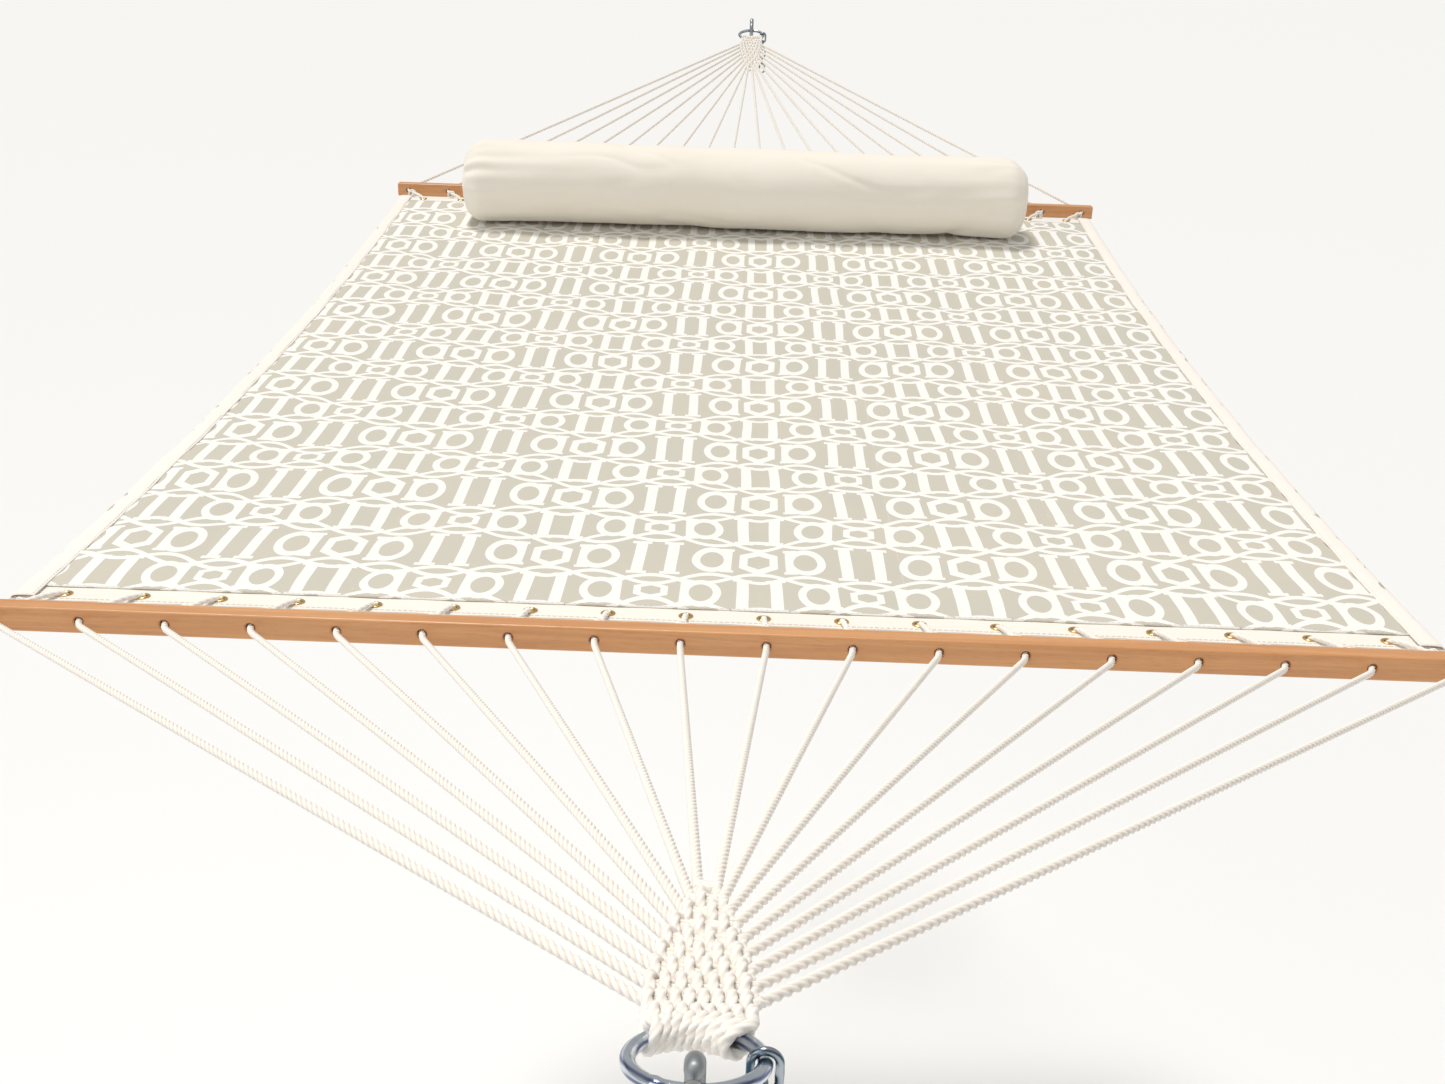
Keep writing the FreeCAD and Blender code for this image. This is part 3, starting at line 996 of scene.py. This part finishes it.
class HAMMOCK_OT_hardware(bpy.types.Operator):
    """Welded rings, forged hooks, chain links, and the wooden bars' finish"""
    bl_idname = "hammock.hardware"
    bl_label = "Bars and Metal"

    def execute(self, context):
        ring, hook, link = wire_ring(), s_hook(), chain_link()
        top = clew_point(RING_R, -RING_R)
        for end, mirror in ENDS:
            def in_clew(point):
                return from_bed(clew_point(*point), mirror)

            hand_over(placed_copy(ring, end + "_welded_ring", in_clew),
                      "hammock", "ring_zinc", end + "_ring")
            hand_over(placed_copy(hook, end + "_forged_hook", in_clew),
                      "hangers", "hook_steel", end + "_hook")
            for index in range(LINKS):
                quarter = Matrix.Rotation(math.radians(90 * (index % 2)), 3, "Z")
                drop = Vector((0, 0, LINK_PITCH * index))

                def in_chain(point):
                    return from_bed(top + quarter @ Vector(point) - drop, mirror)

                name = f"{end}_link_{index + 1}"
                hand_over(placed_copy(link, name, in_chain), name, "chain_zinc",
                          f"{end}_chain_link_{index + 1}")
            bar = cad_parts[end + "_spreader_bar"]
            bar.data.materials.clear()
            bar.data.materials.append(finish_for("bar_wood"))
        for made in (ring, hook, link):
            bpy.data.objects.remove(made)
        return {"FINISHED"}


# ---------------------------------------------------------------- pillow

PILLOW_END = 0.54             # half the finished bolster
SEAM_AT = 0.020               # from its ends to the end seams
FLATTEN = 0.006               # over how much height its underside settles on the bed


def cover_relief(x, y, z):
    """How far the cover stands out: gathers at its ends, soft dents, the end seams and creases."""
    angle = math.atan2(z, y)
    from_end = PILLOW_END - abs(x)
    fold = math.exp(-max(0.0, from_end - SEAM_AT) / 0.075)
    gather = noise_at(math.copysign(3.0, x), math.cos(angle) * 3.4, math.sin(angle) * 3.4)
    slant = noise_at(x * 11.0, angle * 2.4 + x * 7.0, 5.0)
    soft = noise_at(x * 4.2, y * 7.0, z * 7.0)
    dent = noise_at(x * 9.5, y * 9.0 + 2.0, z * 11.0)
    fine = noise_at(x * 17.0, y * 26.0, z * 26.0)
    seam = -0.0016 * math.exp(-((from_end - SEAM_AT) / 0.0045) ** 2)
    line = noise_at(x * 5.2 + z * 3.0, angle * 1.25, 11.0)
    local = max(0.0, noise_at(x * 3.1, angle * 0.8, 17.0) + 0.12)
    crease = -0.0052 * local * math.exp(-(line / 0.085) ** 2)
    return (0.0098 * fold * gather + 0.0050 * slant * fold + 0.0046 * soft
            + 0.0042 * dent * abs(dent) * 2 + 0.0009 * fine + seam + crease)


class HAMMOCK_OT_pillow(bpy.types.Operator):
    """Bolster whose sewn cover is filled by a cloth simulation"""
    bl_idname = "hammock.pillow"
    bl_label = "Bolster Pillow"

    def execute(self, context):
        pillow = settings("pillow")
        deselect()
        bpy.ops.mesh.primitive_cylinder_add(
            vertices=72, radius=pillow.radius, depth=pillow.length, location=(0, 0, 0),
            rotation=(0, math.pi / 2, 0))
        obj = bpy.context.active_object
        obj.name = obj.data.name = "pillow_bolster"
        settle(obj)
        edit(obj, "DESELECT")
        object_mode()
        half = pillow.length / 2
        for edge in obj.data.edges:
            a, b = (obj.data.vertices[i].co for i in edge.vertices)
            edge.select = abs(a.x - b.x) < 1e-5 and abs(abs(a.x) - half) < 1e-4
        bpy.ops.object.mode_set(mode="EDIT")
        bpy.ops.mesh.bevel(offset=0.034, segments=7, affect="EDGES")
        object_mode()
        remesh = obj.modifiers.new("cloth_mesh", "REMESH")
        remesh.mode = "VOXEL"
        remesh.voxel_size = pillow.voxel
        apply_modifiers(obj)
        before = coords(obj)
        cloth = obj.modifiers.new("fill", "CLOTH")
        cloth.settings.use_pressure = True
        cloth.settings.uniform_pressure_force = pillow.pressure
        cloth.settings.effector_weights.gravity = 0.0
        cloth.settings.shrink_min = -0.012
        cloth.settings.quality = 6
        for number in range(1, 21):
            context.scene.frame_set(number)
        apply_modifiers(obj)
        context.scene.frame_set(1)
        co = coords(obj)
        shift = co - before
        far = np.linalg.norm(shift, axis=1)
        shift *= np.minimum(1.0, pillow.cap / np.maximum(far, 1e-9))[:, None]
        co = before + shift
        bed_top = sag_z(PILLOW.y) + SKIN + 0.0022 - PILLOW.z
        for place in co:
            grow = cover_relief(*place)
            reach = max(1e-4, math.hypot(place[1], place[2]))
            place[1:] *= 1 + grow / reach if reach > 0.02 else 1.0
            depth = bed_top + FLATTEN - place[2]
            if depth > 0:
                place[2] = bed_top + FLATTEN * math.exp(-depth / FLATTEN)
        set_coords(obj, co + np.array(from_bed(PILLOW)))
        even = obj.modifiers.new("even", "SMOOTH")
        even.factor = 0.4
        even.iterations = 2
        fine_mesh = obj.modifiers.new("fine", "SUBSURF")
        fine_mesh.levels = fine_mesh.render_levels = 1
        apply_modifiers(obj)
        smooth(obj)
        hand_over(obj, "pillow", "pillow_cloth", "pillow_cover", "pillow_filling")
        return {"FINISHED"}


# ---------------------------------------------------------------- finishes

def node(tree, kind, inputs=(), **values):
    """Add a node, set its properties, and link or set its inputs by name or number."""
    made = tree.nodes.new(kind)
    for key, value in values.items():
        setattr(made, key, value)
    for key, value in dict(inputs).items():
        socket = made.inputs[key]
        if isinstance(value, bpy.types.NodeSocket):
            tree.links.new(value, socket)
        elif isinstance(value, (tuple, list)) and socket.type == "RGBA":
            socket.default_value = (*value[:3], 1.0)
        else:
            socket.default_value = value
    return made


class Sums:
    """The arithmetic of a node tree: each of a Math node's operations as a method."""
    def __init__(self, tree):
        self.tree = tree

    def __getattr__(self, operation):
        def make(*terms, clamp=False):
            return node(self.tree, "ShaderNodeMath", dict(enumerate(terms)),
                        operation=operation.upper(), use_clamp=clamp).outputs[0]
        return make


def speckle(tree, vector, scale, detail, output=0, **more):
    """A noise texture's value, or another of its outputs."""
    inputs = {"Vector": vector, "Scale": scale, "Detail": detail, **more}
    return node(tree, "ShaderNodeTexNoise", inputs).outputs[output]


def vector_sum(tree, operation, first, second):
    return node(tree, "ShaderNodeVectorMath", {0: first, 1: second}, operation=operation).outputs[0]


def new_group(name, inputs, outputs):
    tree = bpy.data.node_groups.new(name, "ShaderNodeTree")
    for socket, kind, default in inputs:
        made = tree.interface.new_socket(name=socket, in_out="INPUT", socket_type=kind)
        if default is not None:
            made.default_value = default
    for socket, kind in outputs:
        tree.interface.new_socket(name=socket, in_out="OUTPUT", socket_type=kind)
    return tree, tree.nodes.new("NodeGroupInput"), tree.nodes.new("NodeGroupOutput")


def weave_group():
    """Plain weave: Height of the threads, and Shade that is darker in the gaps and in slubs."""
    if "plain_weave" in bpy.data.node_groups:
        return bpy.data.node_groups["plain_weave"]
    tree, source, out = new_group(
        "plain_weave",
        [("Vector", "NodeSocketVector", None), ("Threads", "NodeSocketFloat", 800.0)],
        [("Height", "NodeSocketFloat"), ("Shade", "NodeSocketFloat")])
    m = Sums(tree)
    parts = node(tree, "ShaderNodeSeparateXYZ", {0: source.outputs["Vector"]})
    scale = m.multiply(source.outputs["Threads"], math.pi)
    warp = m.sine(m.multiply(parts.outputs[0], scale))
    weft = m.sine(m.multiply(parts.outputs[1], scale))
    height = m.add(m.multiply(m.multiply(warp, weft), 0.5), 0.5)
    stretch = vector_sum(tree, "MULTIPLY", source.outputs["Vector"], (60.0, 420.0, 60.0))
    slub = speckle(tree, stretch, 1.0, 3.0)
    mixed = m.add(m.multiply(height, 0.35), m.multiply(slub, 0.65))
    tree.links.new(mixed, out.inputs["Height"])
    shade = m.add(m.multiply(slub, 0.6), m.multiply(height, 0.4))
    tree.links.new(shade, out.inputs["Shade"])
    return tree


def wear_group():
    """Mask of soft blotches from 0, clean, to 1, worn, and Specks of dirt."""
    if "handled_wear" in bpy.data.node_groups:
        return bpy.data.node_groups["handled_wear"]
    tree, source, out = new_group(
        "handled_wear",
        [("Vector", "NodeSocketVector", None), ("Size", "NodeSocketFloat", 8.0),
         ("Amount", "NodeSocketFloat", 0.5)],
        [("Mask", "NodeSocketFloat"), ("Specks", "NodeSocketFloat")])
    m = Sums(tree)
    place, size_in, amount = (source.outputs[key] for key in ("Vector", "Size", "Amount"))
    broad = speckle(tree, place, size_in, 4.0)
    fine = speckle(tree, place, m.multiply(size_in, 22.0), 2.0)
    for value, floor, gain, output in ((broad, 0.42, 3.2, "Mask"), (fine, 0.62, 9.0, "Specks")):
        spots = m.multiply(m.subtract(value, floor), gain, clamp=True)
        tree.links.new(m.multiply(spots, amount), out.inputs[output])
    return tree


def lattice_group():
    """Interlaced bands, bars and rings. Vector, Across and Along, the repeat, are in metres.

    Mask is 1 on the lattice.
    """
    if "lattice_bands" in bpy.data.node_groups:
        return bpy.data.node_groups["lattice_bands"]
    tree, source, out = new_group(
        "lattice_bands",
        [("Vector", "NodeSocketVector", None), ("Across", "NodeSocketFloat", 0.22),
         ("Along", "NodeSocketFloat", 0.2), ("Start", "NodeSocketFloat", 0.0),
         ("Side", "NodeSocketFloat", 0.0)],
        [("Mask", "NodeSocketFloat")])
    m = Sums(tree)
    add, sub, mul, less, size_of = m.add, m.subtract, m.multiply, m.less_than, m.absolute
    parts = node(tree, "ShaderNodeSeparateXYZ", {0: source.outputs["Vector"]})
    p = m.divide(sub(parts.outputs[0], source.outputs["Side"]), source.outputs["Across"])
    q = m.divide(sub(parts.outputs[1], source.outputs["Start"]), source.outputs["Along"])
    pf, qf = (size_of(sub(m.fract(add(way, 0.5)), 0.5)) for way in (p, q))
    ps, qs = sub(0.5, pf), sub(0.5, qf)
    found = []

    def bar(u, v, at_u, half_u, at_v, half_v):
        """An upright or a foot of a bar."""
        found.append(mul(less(size_of(sub(u, at_u)), half_u), less(size_of(sub(v, at_v)), half_v)))

    def oval(u, v, at, wide, high):
        du = m.power(m.divide(size_of(sub(u, at)), wide), 2.0)
        return add(du, m.power(m.divide(v, high), 2.0))

    def hexagon(u, v, at, wide, high):
        du = m.divide(size_of(sub(u, at)), wide)
        return m.maximum(du, add(mul(du, 0.45), m.divide(v, high)))

    def ringed(outline, hole):
        found.append(mul(less(outline, 1.0), m.greater_than(hole, 1.0)))

    # tall row about qf = 0 with its pair of bars at pf = 0, low row about qs = 0 and ps = 0
    for u, v, reach, wide, high, last_wide, last_high in (
            (pf, qf, 0.256, 0.095, 0.200, 0.096, 0.196),
            (ps, qs, 0.216, 0.092, 0.172, 0.078, 0.108)):
        bar(u, v, 0.078, 0.028, 0.0, reach)
        bar(u, v, 0.078, 0.047, reach - 0.014, 0.019)
        ringed(oval(u, v, 0.268, wide, high), oval(u, v, 0.270, wide * 0.60, high * 0.64))
        bar(u, v, 0.348, 0.019, 0.0, high * 0.90)
        bar(u, v, 0.343, 0.034, high * 0.86, 0.018)
        ringed(hexagon(u, v, 0.5, last_wide, last_high),
               hexagon(u, v, 0.5, last_wide * 0.57, last_high * 0.58))
    turn = mul(pf, 2 * math.pi)
    band = add(0.299, mul(m.cosine(turn), 0.044))
    twist = mul(m.cosine(mul(turn, 2.0)), 0.062)
    for strand in (add(band, twist), sub(band, twist)):
        found.append(less(size_of(sub(qf, strand)), 0.0235))
    mask = found[0]
    for other in found[1:]:
        mask = m.maximum(mask, other)
    tree.links.new(mask, out.inputs["Mask"])
    return tree


def group_node(tree, group, **inputs):
    made = node(tree, "ShaderNodeGroup", node_tree=group)
    for key, value in inputs.items():
        if isinstance(value, bpy.types.NodeSocket):
            tree.links.new(value, made.inputs[key])
        else:
            made.inputs[key].default_value = value
    return made


def blank(name, **constants):
    """A material with a Principled shader, its tree and the Object coordinates."""
    material = bpy.data.materials.new(FINISH + name)
    material.use_nodes = True
    tree = material.node_tree
    shader = tree.nodes["Principled BSDF"]
    for key, value in constants.items():
        shader.inputs[key].default_value = value
    place = node(tree, "ShaderNodeTexCoord").outputs["Object"]
    return material, tree, shader, place


def tint(tree, factor, first, second, blend="MIX"):
    made = node(tree, "ShaderNodeMix", data_type="RGBA", blend_type=blend)
    for number, value in ((0, factor), (6, first), (7, second)):
        socket = made.inputs[number]
        if isinstance(value, bpy.types.NodeSocket):
            tree.links.new(value, socket)
        elif isinstance(value, float):
            socket.default_value = value
        else:
            socket.default_value = (*tuple(value)[:3], 1.0)
    return made.outputs[2]


def bump(tree, shader, height, strength, distance):
    made = node(tree, "ShaderNodeBump",
                {"Height": height, "Strength": strength, "Distance": distance})
    tree.links.new(made.outputs[0], shader.inputs["Normal"])


def cotton_rope():
    c = settings("colours")
    material, tree, shader, place = blank("cotton_rope", **{"Roughness": 0.86, "Sheen Weight": 0.25,
                                                            "Sheen Roughness": 0.5})
    groove_shade = node(tree, "ShaderNodeAttribute", attribute_name="groove_shade").outputs["Fac"]
    wear = group_node(tree, wear_group(), Vector=place, Size=14.0, Amount=0.55)
    fibres = speckle(tree, place, 1400.0, 3.0)
    m = Sums(tree)
    # painted shade: the grooves between the strands are mixed towards the darker colour of the
    # grooves, as shade falls there
    deep = m.power(groove_shade, 1.6)
    base = tint(tree, m.multiply(deep, 0.72), c.rope, c.rope_groove_shade)
    base = tint(tree, m.multiply(wear.outputs["Mask"], 0.30), base, (0.86, 0.75, 0.62))
    base = tint(tree, m.multiply(fibres, 0.28), base, (0.98, 0.95, 0.88))
    tree.links.new(base, shader.inputs["Base Color"])
    bump(tree, shader, fibres, 0.5, 0.0004)
    return material


def cloth_finish(name, base_colour, second, threads, sheen):
    material, tree, shader, place = blank(name, **{"Roughness": 0.88, "Sheen Weight": sheen,
                                                   "Sheen Roughness": 0.45})
    weave = group_node(tree, weave_group(), Vector=place, Threads=threads)
    wear = group_node(tree, wear_group(), Vector=place, Size=6.0, Amount=0.6)
    m = Sums(tree)
    base = tint(tree, m.multiply(weave.outputs["Shade"], 0.30), base_colour, second)
    base = tint(tree, m.multiply(wear.outputs["Mask"], 0.30), base, second)
    tree.links.new(base, shader.inputs["Base Color"])
    bump(tree, shader, weave.outputs["Height"], 0.35, 0.0006)
    return material


def lattice_print():
    c, bed = settings("colours"), settings("bed")
    material, tree, shader, _ = blank("lattice_print", **{"Roughness": 0.84, "Sheen Weight": 0.15})
    uv = node(tree, "ShaderNodeUVMap", uv_map="cloth").outputs[0]
    wobble = speckle(tree, uv, 5.0, 1.0, "Color")
    push = vector_sum(tree, "SUBTRACT", wobble, (0.5, 0.5, 0.5))
    moved = vector_sum(tree, "ADD", uv, vector_sum(tree, "MULTIPLY", push, (0.012, 0.012, 0.0)))
    lattice = group_node(tree, lattice_group(), Vector=moved, Across=bed.print_width,
                         Along=bed.print_length, Start=bed.print_start,
                         Side=bed.print_side).outputs["Mask"]
    weave = group_node(tree, weave_group(), Vector=uv, Threads=620.0)
    wear = group_node(tree, wear_group(), Vector=uv, Size=3.5, Amount=0.7)
    m = Sums(tree)
    ground = tint(tree, wear.outputs["Mask"], c.ground, (0.66, 0.60, 0.49))
    patches = speckle(tree, uv, 9.0, 2.0)
    ground = tint(tree, m.multiply(patches, 0.5), ground, (0.54, 0.53, 0.47))
    base = tint(tree, lattice, ground, c.lattice)
    base = tint(tree, m.multiply(weave.outputs["Shade"], 0.16), base, (0.45, 0.40, 0.33))
    tree.links.new(base, shader.inputs["Base Color"])
    rough = m.add(0.80, m.multiply(lattice, -0.10))
    tree.links.new(rough, shader.inputs["Roughness"])
    height = m.add(weave.outputs["Height"], m.multiply(lattice, 0.3))
    bump(tree, shader, height, 0.35, 0.0006)
    return material


def bar_wood():
    c = settings("colours")
    material, tree, shader, place = blank("bar_wood", **{"Roughness": 0.42, "Coat Weight": 0.25,
                                                         "Coat Roughness": 0.3})
    m = Sums(tree)
    along_grain, along_pores = (
        node(tree, "ShaderNodeMapping", {"Vector": place, "Scale": scale}).outputs[0]
        for scale in ((1.6, 42.0, 42.0), (60.0, 1500.0, 1500.0)))
    rings = speckle(tree, along_grain, 1.0, 5.0, Distortion=0.6)
    soft = m.absolute(m.subtract(m.fract(m.multiply(rings, 7.0)), 0.5))
    pores = speckle(tree, along_pores, 1.0, 2.0)
    pore = m.multiply(m.subtract(pores, 0.58), 7.0, clamp=True)
    wear = group_node(tree, wear_group(), Vector=place, Size=5.0, Amount=0.6)
    base = tint(tree, m.multiply(soft, 0.9), c.wood, c.wood_dark)
    base = tint(tree, m.multiply(pore, 0.35), base, (0.26, 0.11, 0.04))
    base = tint(tree, m.multiply(wear.outputs["Mask"], 0.35), base, (0.72, 0.42, 0.20))
    tree.links.new(base, shader.inputs["Base Color"])
    rough = m.add(0.34, m.multiply(wear.outputs["Mask"], 0.22))
    tree.links.new(rough, shader.inputs["Roughness"])
    bump(tree, shader, m.subtract(m.multiply(soft, 0.4), pore), 0.25, 0.0004)
    return material


def metal(name, base_colour, dull_and_reflection, roughness, spread):
    material, tree, shader, place = blank(name, **{"Metallic": 1.0, "Roughness": roughness})
    m = Sums(tree)
    wear = group_node(tree, wear_group(), Vector=place, Size=70.0, Amount=0.8)
    painted_reflection = node(tree, "ShaderNodeAttribute", attribute_name="painted_reflection").outputs["Fac"]
    # painted reflection: the bands marked on the mesh are mixed with the real wear towards the dark
    # second colour
    wear_and_reflection = m.maximum(m.multiply(wear.outputs["Mask"], spread * 2), painted_reflection)
    base = tint(tree, wear_and_reflection, base_colour, dull_and_reflection)
    base = tint(tree, m.multiply(wear.outputs["Specks"], 0.5), base, (0.22, 0.21, 0.20))
    tree.links.new(base, shader.inputs["Base Color"])
    rough = m.add(roughness, m.multiply(wear.outputs["Mask"], spread))
    tree.links.new(rough, shader.inputs["Roughness"])
    bump(tree, shader, speckle(tree, place, 260.0, 3.0), 0.25, 0.0004)
    return material


def finish_for(slot):
    """The material of a slot, made once."""
    if FINISH + slot in bpy.data.materials:
        return bpy.data.materials[FINISH + slot]
    c = settings("colours")
    makers = {
        "cotton_rope": cotton_rope,
        "lattice_print": lattice_print,
        "bar_wood": bar_wood,
        "backing_cloth": lambda: cloth_finish(slot, c.backing, (0.80, 0.73, 0.62), 700.0, 0.2),
        "edge_cloth": lambda: cloth_finish(slot, c.edge, (0.84, 0.75, 0.66), 700.0, 0.2),
        "pillow_cloth": lambda: cloth_finish(slot, c.pillow, (0.84, 0.76, 0.64), 560.0, 0.3),
        "polyester_batting": lambda: cloth_finish(slot, (0.88, 0.88, 0.86), (0.75, 0.75, 0.73),
                                                  180.0, 0.6),
        # the zincs' dark second colours are mostly their painted reflection bands, and also their
        # wear
        "ring_zinc": lambda: metal(slot, c.zinc, (0.07, 0.10, 0.23), 0.14, 0.14),
        "chain_zinc": lambda: metal(slot, c.chain, (0.03, 0.07, 0.11), 0.16, 0.16),
        "hook_steel": lambda: metal(slot, c.steel, (0.25, 0.26, 0.26), 0.42, 0.2),
        "grommet_brass": lambda: metal(slot, c.brass, (0.52, 0.32, 0.12), 0.20, 0.2),
    }
    return makers[slot]()


# ---------------------------------------------------------------- stage

FLOOR_GREY = 0.87
SUN_ENERGY, SUN_ANGLE, SUN_AIM = 2.05, 14, Vector((0.20, -0.20, -1.0))
SOFT_ENERGY, SOFT_PLACE, SOFT_TARGET = 45.0, Vector((-2.5, -1.5, 2.6)), Vector((0, 1.6, -0.2))
WORLD_LIGHT = 0.46
CAMERA_PLACE = Vector((0.0092, -0.5105, 0.4623))
CAMERA_TURN = (-0.0092, 0.4014, 0.0323)     # yaw, pitch and roll
FOCAL_LENGTH = 42.16


def aimed(obj, direction):
    obj.rotation_euler = direction.to_track_quat("-Z", "Y").to_euler()
    return obj


class HAMMOCK_OT_stage(bpy.types.Operator):
    """Pale floor, soft light and the camera"""
    bl_idname = "hammock.stage"
    bl_label = "Stage"

    def execute(self, context):
        deselect()
        bpy.ops.mesh.primitive_plane_add(size=240.0, location=(0, 2.0, FLOOR_Z))
        floor = context.active_object
        floor.name = "floor"
        material = bpy.data.materials.new("floor_pale")
        material.use_nodes = True
        shader = material.node_tree.nodes["Principled BSDF"]
        shader.inputs["Base Color"].default_value = (FLOOR_GREY, FLOOR_GREY, FLOOR_GREY, 1)
        shader.inputs["Roughness"].default_value = 0.9
        floor.data.materials.append(material)
        world = bpy.data.worlds.new("studio")
        world.use_nodes = True
        background = world.node_tree.nodes["Background"]
        background.inputs[0].default_value = (1.0, 1.0, 1.0, 1)
        background.inputs[1].default_value = WORLD_LIGHT
        context.scene.world = world
        context.scene.view_settings.view_transform = "Standard"
        sun = bpy.data.lights.new("key", "SUN")
        sun.energy = SUN_ENERGY
        sun.angle = math.radians(SUN_ANGLE)
        sun.color = (1.0, 0.97, 0.92)
        aimed(add_object("key", sun), SUN_AIM)
        soft = bpy.data.lights.new("soft", "AREA")
        soft.shape = "RECTANGLE"
        soft.size, soft.size_y = 4.0, 3.0
        soft.energy = SOFT_ENERGY
        aimed(add_object("soft", soft), SOFT_TARGET - SOFT_PLACE).location = SOFT_PLACE
        yaw, pitch, roll = CAMERA_TURN
        ahead = Vector((math.sin(yaw) * math.cos(pitch), math.cos(yaw) * math.cos(pitch),
                        -math.sin(pitch)))
        right = Vector((math.cos(yaw), -math.sin(yaw), 0.0))
        up = right.cross(ahead)
        turned_right = right * math.cos(roll) + up * math.sin(roll)
        turned_up = up * math.cos(roll) - right * math.sin(roll)
        lens = bpy.data.cameras.new("camera")
        lens.sensor_width = 36.0
        lens.lens = FOCAL_LENGTH
        lens.clip_start = 0.02
        camera = add_object("camera", lens)
        camera.matrix_world = Matrix.LocRotScale(
            CAMERA_PLACE, Matrix((turned_right, turned_up, -ahead)).transposed(), None)
        context.scene.camera = camera
        return {"FINISHED"}


# ---------------------------------------------------------------- add-on

OPERATORS = (
    HAMMOCK_OT_stage, HAMMOCK_OT_rope_legs, HAMMOCK_OT_clews, HAMMOCK_OT_knots, HAMMOCK_OT_bed,
    HAMMOCK_OT_bindings, HAMMOCK_OT_hems, HAMMOCK_OT_stitching, HAMMOCK_OT_grommets,
    HAMMOCK_OT_hardware, HAMMOCK_OT_pillow,
)
GROUPS = {"rope": RopeSettings, "bed": BedSettings, "pillow": PillowSettings,
          "colours": HammockColours}


class HAMMOCK_PT_panel(bpy.types.Panel):
    """Sizes, colours and one button for each group of pieces"""
    bl_label = "Rope Hammock"
    bl_idname = "HAMMOCK_PT_panel"
    bl_space_type = "VIEW_3D"
    bl_region_type = "UI"
    bl_category = "Hammock"

    def draw(self, context):
        for kind, group in GROUPS.items():
            box = self.layout.box()
            for name in group.__annotations__:
                box.prop(settings(kind), name)
        for operator in OPERATORS:
            self.layout.operator(operator.bl_idname)


def register():
    for kind, group in GROUPS.items():
        bpy.utils.register_class(group)
        setattr(bpy.types.Scene, "hammock_" + kind, bpy.props.PointerProperty(type=group))
    for cls in (*OPERATORS, HAMMOCK_PT_panel):
        bpy.utils.register_class(cls)


def unregister():
    for cls in (HAMMOCK_PT_panel, *reversed(OPERATORS)):
        bpy.utils.unregister_class(cls)
    for kind, group in GROUPS.items():
        delattr(bpy.types.Scene, "hammock_" + kind)
        bpy.utils.unregister_class(group)


def main():
    register()
    for operator in OPERATORS:
        group, name = operator.bl_idname.split(".")
        getattr(getattr(bpy.ops, group), name)()


if __name__ == "__main__":
    main()
